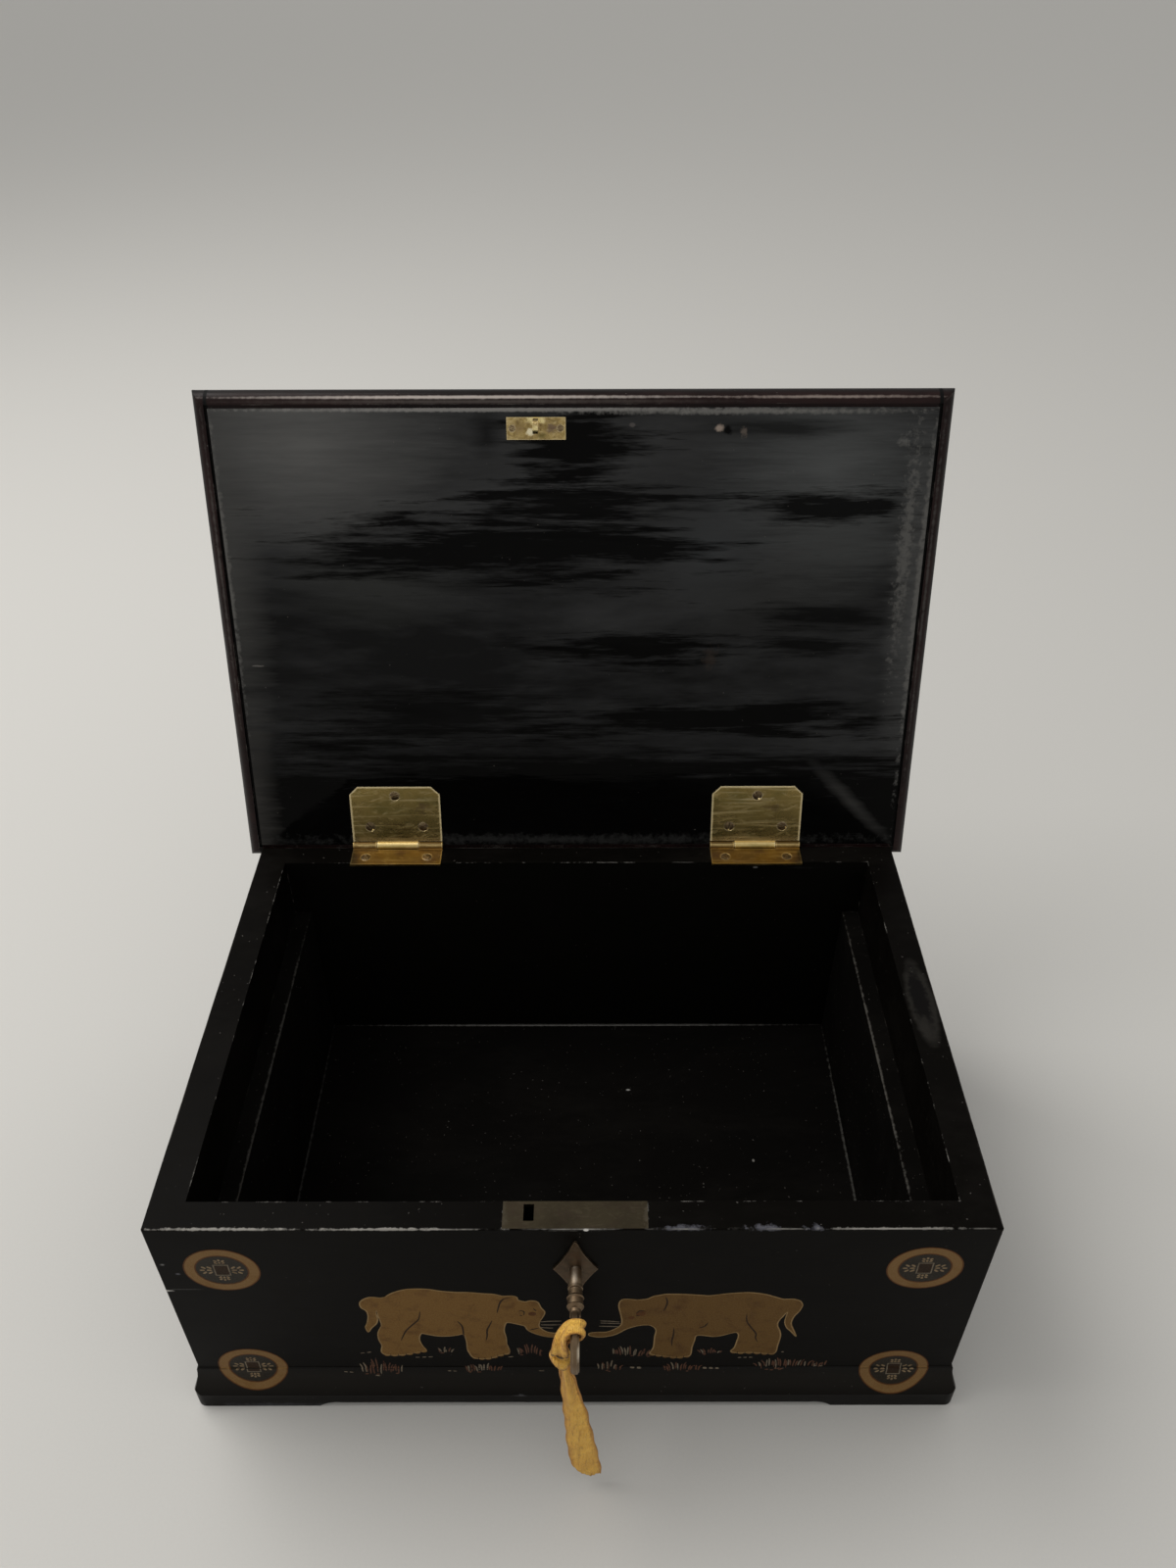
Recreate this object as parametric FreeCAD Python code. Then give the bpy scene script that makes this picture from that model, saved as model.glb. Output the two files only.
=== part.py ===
"""A lacquered wooden box with a hinged lid, a box lock and its key.

The frame has +X to the right, +Y to the back and +Z up. Its origin is the centre of the
footprint, in the plane that the four feet stand in. The lid stands open, as far back as the
moulding along its back edge lets it go. Lengths are in millimetres.
"""
import FreeCAD, Part
import math
import os

Vector = FreeCAD.Vector

# The case: four boards, a bottom and two boards that carry a lift-out tray
case_w = 300.0
case_d = 200.0
case_h = 120.0
side_t = 13.0
end_t = 11.0
tongue_len = 4.0
tongue_t = 5.0
bottom_t = 4.0
ledge_t = 7.7
ledge_drop = 32.4
board_ease = 0.7

# The base moulding, which spreads outwards and stands on a foot at each corner
foot_h = 3.0
foot_len = 46.0
foot_ramp = 9.0
base_out = 4.2
base_band = 9.0
base_flare = 15.0
base_lip = 0.5
base_sag = 0.8
base_corner_r = 4.0

# The lid: a flat panel with a rounded moulding mitred round its edge
lid_t = 11.0
lid_out = 6.8
lid_gap = 0.8
bead_rise = 0.2
quirk_deep = 1.2
stop_gap = 0.3

# Screw heads, here drawn with flat sides
head_sides = 16

# The two butt hinges
hinge_inset = 65.0
hinge_len = 42.4
hinge_back = 0.5
knuckle_r = 2.1
mid_knuckle = 20.0
knuckle_gap = 0.3
pin_r = 1.0
running_gap = 0.05
leaf_t = 1.2
leaf_proud = 0.25
lid_leaf_w = 30.7
lid_leaf_clip = 4.0
rim_leaf_over = 1.2
rim_screw_span = 29.0
lid_screw_span = 25.0
lid_screw_near = 10.0
lid_screw_far = 26.0
hinge_screw_r = 2.4
hinge_screw_len = 8.0

# The lock, seen from the front: its plate, its case and what is in it
lock_x = 1.0
key_drop = 24.5
plate_w = 51.0
plate_h = 36.0
plate_t = 1.2
plate_set = 0.4
lock_w = 42.0
lock_base = 9.0
lock_d = 7.2
sheet_t = 0.8
lock_room = 0.4
lock_screw_r = 1.7
lock_screw_len = 6.0
lock_screw_low = 4.0
lock_screw_high = 30.0
drill_pin_r = 0.8
stud_r = 1.2
stud_spacing = 16.5
stud_x = -6.0
stud_z = 11.0

# The link that hangs from the lid and drops through a slot in the lock's plate
link_x = -16.35
link_y = 6.6
link_t = 2.2
link_w = 5.4
link_wall = 1.1
link_len = 9.6
eye_h = 5.0
slot_room = 0.75
slot_room_y = 0.55
keeper_w = 24.4
keeper_d = 9.0
keeper_t = 1.0
keeper_proud = 0.2
keeper_shift = 1.5
keeper_screw_r = 1.5
keeper_screw_len = 5.0
keeper_screw_in = 2.2

# The bolt, which slides to the left through the eye of the link
throw = 5.6
bolt_t = 2.2
bolt_left = 11.5
bolt_right = 17.5
bolt_low = 4.9
bolt_body_h = 10.0
tongue_h = 3.2
tongue_gap = 0.85
neck_w = 6.0
talon_w = 8.6
talon_h = 3.0
spring_t = 0.4
spring_gap = 0.15
spring_rise = 3.6
stud_room = 0.1

# The key, which turns on the pin in the lock
stem_r = 1.9
key_room = 0.3
barrel_gap = 0.08
barrel_deep = 6.0
key_tip_gap = 0.4
bit_r = 6.5
bit_t = 2.2
bit_len = 4.6
bit_back = 1.0
bit_step = 1.4
bit_step_len = 0.6
ring_r = 2.7
ring_y = 7.8
collar_r = 3.1
collar_y = 11.7
collar_pitch = 3.1
collar_w = 1.7
collar_ease = 0.6
neck_r = 1.6
bow_y = 27.4
bow_half_y = 9.5
bow_half_z = 11.5
bow_bar = 2.8
bow_t = 3.0
bow_round = 0.8
bow_tip_r = 8.6

# The escutcheon round the keyhole
escutcheon_half_w = 8.1
escutcheon_half_h = 17.3
escutcheon_t = 0.8
escutcheon_dip = 0.5
escutcheon_tip = 0.8

# The ribbon on the key: a loop over the top of the bow, a knot and a hanging tail
ribbon_t = 1.2
loop_w = 6.0
loop_ahead = 0.6
loop_room = 0.4
loop_lift = 2.6
loop_slant = 2.4
knot_r = 4.1
knot_w = 7.6
knot_x = -5.9
knot_drop = 11.6
knot_y = 26.6
tail_gap = 0.4
tail_end_z = 5.5
tail_start_x = 1.6
tail_run_x = 8.4
tail_run_y = 6.2
# How far down the tail, how wide and how deeply the strip is cupped there
tail_stations = [
    (0.0, 3.8, 1.3),
    (0.13, 4.9, 1.3),
    (0.26, 6.6, 1.1),
    (0.51, 9.4, 0.8),
    (0.87, 11.4, 0.6),
    (1.0, 10.4, 0.5),
]

# What follows from these sizes
rim_z = foot_h + case_h
front_y = -case_d / 2
back_y = case_d / 2
inner_x = case_w / 2 - side_t
inner_y = case_d / 2 - end_t
floor_z = foot_h + bottom_t
ledge_z = rim_z - ledge_drop
hinge_x = case_w / 2 - hinge_inset
axis_y = back_y + hinge_back
axis_z = rim_z + lid_gap
bead_r = (lid_t - bead_rise) / 2
bead_y = lid_out - bead_r - hinge_back
bead_z = lid_t - bead_r
bead_reach = math.hypot(bead_y, bead_z)
key_z = rim_z - key_drop
knot_z = key_z - knot_drop
slot_y = front_y + link_y
bolt_plane = slot_y
back_plate_y = front_y + end_t - plate_t
lock_front_y = back_plate_y - lock_d
eye_z = axis_z - link_len + link_wall

# The lid stops where its back moulding comes up against the back of the case
stop_sine = (bead_r + stop_gap - hinge_back) / bead_reach
open_angle = 180 - math.degrees(math.asin(stop_sine) + math.atan2(bead_y, bead_z))


def box(x0, x1, y0, y1, z0, z1):
    return Part.makeBox(x1 - x0, y1 - y0, z1 - z0, Vector(x0, y0, z0))


def rod(start, end, radius):
    run = end.sub(start)
    return Part.makeCylinder(radius, run.Length, start, run)


def line(a, b):
    return Part.LineSegment(a, b).toShape()


def arc(a, middle, b):
    return Part.Arc(a, middle, b).toShape()


def slab(edges, depth):
    """A flat outline of edges, pushed along depth."""
    return Part.Face(Part.Wire(edges)).extrude(depth)


def polygon(points):
    return [line(a, b) for a, b in zip(points, points[1:] + points[:1])]


def eased(shape, radius, picks):
    """Round off the edges whose middle point picks says yes to."""
    edges = [e for e in shape.Edges if picks(e.BoundBox.Center)]
    return shape.makeFillet(radius, edges)


def save(name, shape):
    if not shape.isValid():
        raise ValueError(name + " isn't a valid solid")
    shape.exportStep("parts/" + name + ".step")
    print(name, len(shape.Solids), "solid,", round(shape.Volume, 1), "mm3")


def many_sided_cone(low_r, high_r, depth):
    """A cone along +Z with flat sides, for the small screw heads."""
    turns = [2 * math.pi * (i + 0.5) / head_sides for i in range(head_sides)]

    def ring(r, z):
        return [Vector(r * math.cos(a), r * math.sin(a), z) for a in turns]

    low = ring(low_r, 0)
    high = ring(high_r, depth)
    outlines = [low, high]
    for i in range(head_sides):
        outlines.append([low[i - 1], low[i], high[i], high[i - 1]])
    shell = Part.makeShell([Part.Face(Part.Wire(polygon(points))) for points in outlines])
    shell.sewShape()
    cone = Part.makeSolid(shell)
    return cone if cone.Volume > 0 else cone.reversed()


def countersunk(head, inward, radius, depth, length):
    """A wood screw whose flat head is flush with the point head; its shank is a square pin."""
    run = Vector(inward).normalize()
    half = radius * 0.3
    shank = Part.makeBox(2 * half, 2 * half, length - depth, Vector(-half, -half, depth))
    screw = many_sided_cone(radius, radius * 0.5, depth).fuse(shank).removeSplitter()
    screw.Placement = FreeCAD.Placement(head, FreeCAD.Rotation(Vector(0, 0, 1), run))
    return screw


# The case


def keyhole(y0, y1, room):
    """A round hole for the stem with a slot below it for the bit."""
    hole = rod(Vector(lock_x, y0, key_z), Vector(lock_x, y1, key_z), stem_r + room)
    half = bit_t / 2 + room
    return hole.fuse(box(lock_x - half, lock_x + half, y0, y1, key_z - bit_r - room, key_z))


def side_board(side):
    board = box(inner_x, case_w / 2, front_y, back_y, foot_h, rim_z)
    outer = case_w / 2 - board_ease
    end = case_d / 2 - board_ease

    def rim_or_corner(p):
        on_rim = p.z > rim_z - 0.01 and (p.x > outer or abs(p.y) > end)
        return on_rim or (p.x > outer and abs(p.y) > end and abs(p.z - rim_z) > 1)

    board = eased(board, board_ease, rim_or_corner)
    for end_y in (front_y, inner_y):
        mid = end_y + end_t / 2
        y0 = mid - tongue_t / 2
        groove = box(inner_x, inner_x + tongue_len, y0, y0 + tongue_t, foot_h, rim_z)
        board = board.cut(groove)
    return board if side > 0 else board.mirror(Vector(), Vector(1, 0, 0))


def end_board(y0, outer_y):
    board = box(-inner_x, inner_x, y0, y0 + end_t, foot_h, rim_z)
    board = eased(board, board_ease, lambda p: p.z > rim_z - 0.01 and abs(p.y - outer_y) < 0.01)
    mid = y0 + end_t / 2
    reach = inner_x + tongue_len
    tongue = box(-reach, reach, mid - tongue_t / 2, mid + tongue_t / 2, foot_h, rim_z)
    return board.fuse(tongue).removeSplitter()


def lock_hollow():
    """The wood that is cut away for the lock: its plate, its case and the keyhole."""
    half = lock_w / 2 + lock_room
    base = rim_z - plate_t - lock_height() - lock_room
    case = box(lock_x - half, lock_x + half, lock_front_y - lock_room, back_plate_y, base, rim_z)
    return lock_plate_blank().fuse(case).fuse(keyhole(front_y - 1, lock_front_y, key_room))


def front_board():
    board = end_board(front_y, front_y).cut(lock_hollow())
    return board.cut(lock_screws())


def back_board():
    board = end_board(inner_y, back_y)
    for side in (-1, 1):
        board = board.cut(rim_leaf_blank(side)).cut(knuckle_room(side))
        board = board.cut(rim_screws(side))
    return board


def tray_ledge(side):
    x0 = inner_x - ledge_t
    ledge = box(x0, inner_x, -inner_y, inner_y, floor_z, ledge_z)
    ledge = eased(ledge, board_ease, lambda p: p.z > ledge_z - 0.01 and p.x < x0 + 0.01)
    return ledge if side > 0 else ledge.mirror(Vector(), Vector(1, 0, 0))


# The base moulding


def flare_profile(u):
    """The moulding's section in the YZ plane at x = u, growing towards -Y from y = 0."""
    top = base_band + base_flare

    def at(out, z):
        return Vector(u, -out, z)

    middle = at((base_out + base_lip) / 2 - base_sag, base_band + (base_flare - base_lip) / 2)
    return [
        line(at(0, 0), at(base_out, 0)),
        line(at(base_out, 0), at(base_out, base_band)),
        arc(at(base_out, base_band), middle, at(base_lip, top - base_lip)),
        line(at(base_lip, top - base_lip), at(0, top)),
        line(at(0, top), at(0, 0)),
    ]


def relief(length):
    """What is cut away below a moulding between its two feet."""
    start = length / 2 - foot_len
    flat = start - foot_ramp
    dip = foot_ramp * 0.3

    def at(x, z):
        return Vector(x, 1, z)

    edges = polygon([at(-start, -1), at(start, -1), at(start, 0), at(-start, 0)])[:2]
    edges.append(arc(at(start, 0), at(start - dip, foot_h * 0.7), at(flat, foot_h)))
    edges.append(line(at(flat, foot_h), at(-flat, foot_h)))
    edges.append(arc(at(-flat, foot_h), at(dip - start, foot_h * 0.7), at(-start, 0)))
    edges.append(line(at(-start, 0), at(-start, -1)))
    return slab(edges, Vector(0, -base_out - 2, 0))


def mitred(profile, length, out, height):
    """A moulding for one side: its section run along X and mitred at both ends."""
    half = length / 2
    bar = slab(profile(-half - out), Vector(length + 2 * out, 0, 0))
    wedge = polygon(
        [
            Vector(-half, 0, -1),
            Vector(half, 0, -1),
            Vector(half + out, -out, -1),
            Vector(-half - out, -out, -1),
        ]
    )
    return bar.common(slab(wedge, Vector(0, 0, height + 2)))


def round_corners(piece, length, out, radius, height):
    """Ease the outer corners of a mitred piece by a plan outline with round corners."""
    plan = box(-length / 2 - out, length / 2 + out, -out, 2 * radius, -1, height + 1)
    edge_x = length / 2 + out - 0.01
    plan = eased(plan, radius, lambda p: abs(p.x) > edge_x and p.y < -out + 0.01)
    return piece.common(plan)


def placed(piece, turn, distance, lift):
    """Turn a piece made for the front about Z and move it out to its own side."""
    piece = piece.copy()
    piece.translate(Vector(0, -distance, lift))
    piece.rotate(Vector(), Vector(0, 0, 1), turn)
    return piece


def base_moulding(turn, length, distance):
    height = base_band + base_flare
    piece = mitred(flare_profile, length, base_out, height)
    piece = round_corners(piece, length, base_out, base_corner_r, height).cut(relief(length))
    return placed(piece, turn, distance, 0)


# The lid, drawn shut and then swung open


def opened(shape):
    shape = shape.copy()
    shape.rotate(Vector(0, axis_y, axis_z), Vector(1, 0, 0), -open_angle)
    return shape


def lid_panel():
    panel = box(-case_w / 2, case_w / 2, front_y, back_y, axis_z, axis_z + lid_t)
    for side in (-1, 1):
        panel = panel.cut(lid_leaf_blank(side)).cut(knuckle_room(side)).cut(lid_screws(side))
    return panel.cut(keeper_blank()).cut(keeper_screws())


def bead_profile(u):
    """A quirk beside the panel and then a round nose, in the YZ plane at x = u."""
    foot = lid_out - bead_r

    def at(out, z):
        return Vector(u, -out, z)

    return [
        line(at(0, lid_t), at(0, quirk_deep)),
        line(at(0, quirk_deep), at(foot, quirk_deep)),
        line(at(foot, quirk_deep), at(foot, bead_rise)),
        arc(at(foot, bead_rise), at(lid_out, bead_z), at(foot, lid_t)),
        line(at(foot, lid_t), at(0, lid_t)),
    ]


def lid_moulding(turn, length, distance):
    piece = placed(mitred(bead_profile, length, lid_out, lid_t), turn, distance, axis_z)
    for side in (-1, 1):
        piece = piece.cut(knuckle_room(side))
    return piece


# The hinges


def knuckle_room(side):
    """The notch that is cut in the wood for a hinge's knuckles, and for its leaves behind."""
    half = hinge_len / 2 + knuckle_gap
    middle = side * hinge_x
    start = Vector(middle - half, axis_y, axis_z)
    return rod(start, start.add(Vector(2 * half, 0, 0)), knuckle_r + knuckle_gap)


def rim_leaf_blank(side):
    middle = side * hinge_x
    half = hinge_len / 2
    top = rim_z + leaf_proud
    return box(middle - half, middle + half, inner_y - rim_leaf_over, axis_y, top - leaf_t, top)


def lid_leaf_blank(side):
    middle = side * hinge_x
    half = hinge_len / 2
    front = axis_y - lid_leaf_w
    low = axis_z - leaf_proud
    outline = [
        Vector(middle - half, axis_y, low),
        Vector(middle - half, front + lid_leaf_clip, low),
        Vector(middle - half + lid_leaf_clip, front, low),
        Vector(middle + half - lid_leaf_clip, front, low),
        Vector(middle + half, front + lid_leaf_clip, low),
        Vector(middle + half, axis_y, low),
    ]
    return slab(polygon(outline), Vector(0, 0, leaf_t))


def tube(x0, x1, radius):
    return rod(Vector(x0, axis_y, axis_z), Vector(x1, axis_y, axis_z), radius)


def rim_screws(side):
    middle = side * hinge_x
    y = inner_y + (end_t - knuckle_r - rim_leaf_over) / 2
    top = rim_z + leaf_proud
    heads = [Vector(middle + s * rim_screw_span / 2, y, top) for s in (-1, 1)]
    return Part.makeCompound(
        [countersunk(p, Vector(0, 0, -1), hinge_screw_r, leaf_t, hinge_screw_len) for p in heads]
    )


def lid_screws(side):
    middle = side * hinge_x
    low = axis_z - leaf_proud
    spots = [(-lid_screw_span / 2, lid_screw_near), (lid_screw_span / 2, lid_screw_near)]
    spots.append((0, lid_screw_far))
    heads = [Vector(middle + x, axis_y - reach, low) for x, reach in spots]
    return Part.makeCompound(
        [countersunk(p, Vector(0, 0, 1), hinge_screw_r, leaf_t, hinge_screw_len) for p in heads]
    )


def rim_leaf(side):
    """The leaf let into the rim, with the two outer knuckles."""
    middle = side * hinge_x
    half = hinge_len / 2
    inner = mid_knuckle / 2
    clear = tube(middle - inner, middle + inner, knuckle_r + knuckle_gap)
    leaf = rim_leaf_blank(side).cut(clear)
    for x0, x1 in ((-half, -inner), (inner, half)):
        leaf = leaf.fuse(tube(middle + x0, middle + x1, knuckle_r))
    bore = tube(middle - half, middle + half, pin_r)
    return leaf.cut(bore).cut(rim_screws(side)).removeSplitter()


def lid_leaf(side):
    """The wider leaf let into the lid, with the middle knuckle."""
    middle = side * hinge_x
    half = hinge_len / 2 + 1
    inner = mid_knuckle / 2
    leaf = lid_leaf_blank(side)
    for x0, x1 in ((-half, -inner), (inner, half)):
        leaf = leaf.cut(tube(middle + x0, middle + x1, knuckle_r + knuckle_gap))
    barrel = inner - knuckle_gap
    keep = box(middle - inner, middle + inner, axis_y - lid_leaf_w, axis_y, axis_z - 2, axis_z + 2)
    for x0, x1 in ((-inner, -barrel), (barrel, inner)):
        leaf = leaf.cut(tube(middle + x0, middle + x1, knuckle_r + knuckle_gap).common(keep))
    leaf = leaf.fuse(tube(middle - barrel, middle + barrel, knuckle_r))
    bore = tube(middle - barrel, middle + barrel, pin_r + running_gap)
    return leaf.cut(bore).cut(lid_screws(side)).removeSplitter()


def hinge_pin(side):
    middle = side * hinge_x
    half = hinge_len / 2
    return tube(middle - half, middle + half, pin_r)


# The lock


def lock_height():
    return plate_h - plate_t - (plate_h - key_drop - lock_base)


def lock_plate_blank():
    """The plate on the rim and the plate down the inside of the board, bent from one strip."""
    x0 = lock_x - plate_w / 2
    x1 = lock_x + plate_w / 2
    top = box(x0, x1, front_y + plate_set, back_plate_y + plate_t, rim_z - plate_t, rim_z)
    back = box(x0, x1, back_plate_y, back_plate_y + plate_t, rim_z - plate_h, rim_z)
    return top.fuse(back).removeSplitter()


def studs():
    """The pin that the key turns on and the two studs that the bolt slides on."""
    pins = [(lock_x, key_z, drill_pin_r)]
    for x in (stud_x, stud_x + stud_spacing):
        pins.append((lock_x + x, key_z + stud_z, stud_r))
    inner = lock_front_y + sheet_t + 1.0
    return [rod(Vector(x, back_plate_y, z), Vector(x, inner, z), r) for x, z, r in pins]


def lock_plate():
    plate = lock_plate_blank()
    half_x = link_t / 2 + slot_room
    half_y = link_w / 2 + slot_room_y
    x = lock_x + link_x
    slot = box(x - half_x, x + half_x, slot_y - half_y, slot_y + half_y, rim_z - plate_t, rim_z)
    return plate.cut(slot).cut(lock_screws())


def lock_screws():
    outer = back_plate_y + plate_t
    base = rim_z - plate_h
    reach = (plate_w + lock_w + 2 * lock_room) / 4
    heads = [
        Vector(lock_x + side * reach, outer, base + up)
        for side in (-1, 1)
        for up in (lock_screw_low, lock_screw_high)
    ]
    return Part.makeCompound(
        [countersunk(p, Vector(0, -1, 0), lock_screw_r, plate_t, lock_screw_len) for p in heads]
    )


def lock_case():
    """A sheet case round the works, closed by the plate above it and behind it."""
    half = lock_w / 2
    top = rim_z - plate_t
    base = top - lock_height()
    case = box(lock_x - half, lock_x + half, lock_front_y, back_plate_y, base, top)
    inner = half - sheet_t
    room = box(
        lock_x - inner, lock_x + inner, lock_front_y + sheet_t, back_plate_y, base + sheet_t, top
    )
    return case.cut(room).cut(keyhole(lock_front_y, lock_front_y + sheet_t, key_room))


def bolt_spring():
    """A flat spring from the end of the lock's case, bowed down to the top of the bolt."""
    end = lock_x + lock_w / 2 - sheet_t
    touch = key_z + bolt_low + bolt_body_h + spring_gap
    start = lock_x + neck_w / 2 - 1.0
    middle = (start + end) / 2
    y = bolt_plane - bolt_t / 2

    def bow(offset):
        ends = touch + spring_rise + offset
        return Vector(start, y, ends), Vector(middle, y, touch + offset), Vector(end, y, ends)

    low = bow(0)
    high = bow(spring_t)
    edges = [arc(*low), line(low[2], high[2]), arc(*high), line(high[0], low[0])]
    return slab(edges, Vector(0, bolt_t, 0))


def lock_bolt():
    """The bolt: a slotted body on two studs, a talon for the key and a tongue for the link."""
    low = key_z + bolt_low
    top = low + bolt_body_h
    tongue_z = eye_z + tongue_gap
    tip = lock_x + link_x + link_t / 2 + slot_room + tongue_gap
    neck = lock_x + stud_x + neck_w
    left = lock_x - bolt_left
    right = lock_x + bolt_right
    talon = lock_x + throw / 2
    outline = [
        Vector(left, 0, low),
        Vector(talon - talon_w / 2, 0, low),
        Vector(talon - talon_w / 2, 0, low + talon_h),
        Vector(talon + talon_w / 2, 0, low + talon_h),
        Vector(talon + talon_w / 2, 0, low),
        Vector(right, 0, low),
        Vector(right, 0, top),
        Vector(neck, 0, top),
        Vector(neck, 0, tongue_z + tongue_h),
        Vector(tip, 0, tongue_z + tongue_h),
        Vector(tip, 0, tongue_z),
        Vector(neck - neck_w, 0, tongue_z),
        Vector(neck - neck_w, 0, top),
        Vector(left, 0, top),
    ]
    bolt = slab(polygon(outline), Vector(0, bolt_t, 0))
    bolt.translate(Vector(0, bolt_plane - bolt_t / 2, 0))
    half = stud_r + stud_room
    y0 = bolt_plane - bolt_t
    y1 = bolt_plane + bolt_t
    for x in (stud_x, stud_x + stud_spacing):
        start = Vector(lock_x + x, y0, key_z + stud_z)
        end = start.add(Vector(throw, 0, 0))
        slot = box(start.x, end.x, y0, y1, start.z - half, start.z + half)
        for p in (start, end):
            slot = slot.fuse(rod(p, Vector(p.x, y1, p.z), half))
        bolt = bolt.cut(slot.removeSplitter())
    return bolt


def escutcheon():
    """A diamond plate with slightly hollow sides and the keyhole in its middle."""
    w = escutcheon_half_w
    h = escutcheon_half_h
    tip = escutcheon_tip
    y = front_y - escutcheon_t

    def at(x, z):
        return Vector(lock_x + x, y, key_z + z)

    edges = []
    for sx, sz in ((1, 1), (1, -1), (-1, -1), (-1, 1)):
        side = (at(sx * tip, sz * (h - tip)), at(sx * w, 0))
        hollow = at(sx * ((w + tip) / 2 - escutcheon_dip), sz * ((h - tip) / 2 - escutcheon_dip))
        edges.append(arc(side[0], hollow, side[1]))
    for sz in (1, -1):
        edges.append(arc(at(-tip, sz * (h - tip)), at(0, sz * h), at(tip, sz * (h - tip))))
    plate = Part.Face(Part.Wire(Part.__sortEdges__(edges))).extrude(Vector(0, escutcheon_t, 0))
    return plate.cut(keyhole(y, front_y, key_room))


# The keeper and its link, on the lid


def keeper_spot():
    """The middle of the keeper's plate on the underside of the shut lid."""
    return Vector(lock_x + link_x, slot_y + keeper_shift, axis_z - keeper_proud)


def keeper_blank():
    p = keeper_spot()
    half_w = keeper_w / 2
    half_d = keeper_d / 2
    return box(p.x - half_w, p.x + half_w, p.y - half_d, p.y + half_d, p.z, p.z + keeper_t)


def keeper_screws():
    p = keeper_spot()
    reach = keeper_w / 2 - keeper_screw_in
    heads = [Vector(p.x + s * reach, p.y, p.z) for s in (-1, 1)]
    return Part.makeCompound(
        [countersunk(h, Vector(0, 0, 1), keeper_screw_r, keeper_t, keeper_screw_len) for h in heads]
    )


def link():
    """A flat loop across the lid, riveted through its plate."""
    p = keeper_spot()
    half = link_w / 2
    x0 = p.x - link_t / 2
    low = axis_z - link_len
    round_z = low + half

    def at(y, z):
        return Vector(x0, slot_y + y, z)

    edges = [
        line(at(-half, p.z + keeper_t), at(-half, round_z)),
        arc(at(-half, round_z), at(0, low), at(half, round_z)),
        line(at(half, round_z), at(half, p.z + keeper_t)),
        line(at(half, p.z + keeper_t), at(-half, p.z + keeper_t)),
    ]
    body = slab(edges, Vector(link_t, 0, 0))
    inner = half - link_wall
    eye_low = low + link_wall
    eye_top = eye_low + eye_h
    eye_edges = [
        line(at(-inner, eye_top), at(-inner, eye_low + inner)),
        arc(at(-inner, eye_low + inner), at(0, eye_low), at(inner, eye_low + inner)),
        line(at(inner, eye_low + inner), at(inner, eye_top)),
        line(at(inner, eye_top), at(-inner, eye_top)),
    ]
    return body.cut(slab(eye_edges, Vector(link_t, 0, 0)))


def keeper_plate():
    return keeper_blank().cut(keeper_screws()).cut(link())


# The key


def key_stem():
    """The turned part of the key, from the tip in the lock to the bow."""
    tip = back_plate_y - key_tip_gap
    bow_start = front_y - bow_y + bow_half_y - bow_bar / 2

    def at(y, r):
        return Vector(lock_x, y, key_z + r)

    ring = front_y - ring_y
    collar = front_y - collar_y
    last = collar - collar_pitch
    half = collar_w / 2
    shoulder = collar_r - collar_ease
    points = [
        (tip, 0),
        (tip, stem_r),
        (ring + half, stem_r),
        (ring + half * 0.6, ring_r),
        (ring - half * 0.6, ring_r),
        (ring - half, stem_r),
        (collar + half, shoulder),
        (collar, collar_r),
        (collar - half, shoulder),
        (last + half, shoulder),
        (last, collar_r),
        (last - half, shoulder),
        (last - collar_w, neck_r),
        (bow_start, neck_r),
        (bow_start, 0),
    ]
    outline = [at(y, r) for y, r in points]
    face = Part.Face(Part.Wire(polygon(outline)))
    return face.revolve(at(0, 0), Vector(0, 1, 0), 360)


def oval(centre, half_y, half_z, tip_radius, inset):
    """An upright oval of four arcs in the YZ plane, drawn inset inside its outer line."""
    tip_out = half_z - tip_radius
    side_radius = (half_y**2 + tip_out**2 - tip_radius**2) / (2 * (half_y - tip_radius))
    side_out = side_radius - half_y
    # The arcs meet on the line through both their centres
    span = side_radius - tip_radius
    along_y = side_out / span
    along_z = tip_out / span
    r = tip_radius - inset

    def at(y, z):
        return centre.add(Vector(0, y, z))

    corner_y = along_y * r
    corner_z = tip_out + along_z * r
    half_y = half_y - inset
    half_z = half_z - inset
    return Part.Wire(
        [
            arc(at(-corner_y, corner_z), at(0, half_z), at(corner_y, corner_z)),
            arc(at(corner_y, corner_z), at(half_y, 0), at(corner_y, -corner_z)),
            arc(at(corner_y, -corner_z), at(0, -half_z), at(-corner_y, -corner_z)),
            arc(at(-corner_y, -corner_z), at(-half_y, 0), at(-corner_y, corner_z)),
        ]
    )


def key_bow():
    """An oval ring that lies in the plane of the bit, with its edges taken off."""
    centre = Vector(lock_x - bow_t / 2, front_y - bow_y, key_z)
    depth = Vector(bow_t, 0, 0)
    outer = oval(centre, bow_half_y, bow_half_z, bow_tip_r, 0)
    inner = oval(centre, bow_half_y, bow_half_z, bow_tip_r, bow_bar)
    bow = Part.Face(outer).extrude(depth).cut(Part.Face(inner).extrude(depth))
    rims = [e for e in bow.Edges if abs(abs(e.BoundBox.Center.x - lock_x) - bow_t / 2) < 0.01]
    return bow.makeChamfer(bow_round, rims)


def key_bit():
    end = back_plate_y - key_tip_gap - bit_back
    half = bit_t / 2
    bit = box(lock_x - half, lock_x + half, end - bit_len, end, key_z - bit_r, key_z - stem_r / 2)
    step = box(
        lock_x - half, lock_x + half, end - bit_step_len, end, key_z - bit_r, key_z - bit_r + bit_step
    )
    return bit.cut(step)


def key():
    tip = back_plate_y - key_tip_gap
    whole = key_stem().fuse(key_bow()).fuse(key_bit())
    bore = rod(
        Vector(lock_x, tip - barrel_deep, key_z), Vector(lock_x, tip, key_z), drill_pin_r + barrel_gap
    )
    return whole.cut(bore)


# The ribbon


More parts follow.
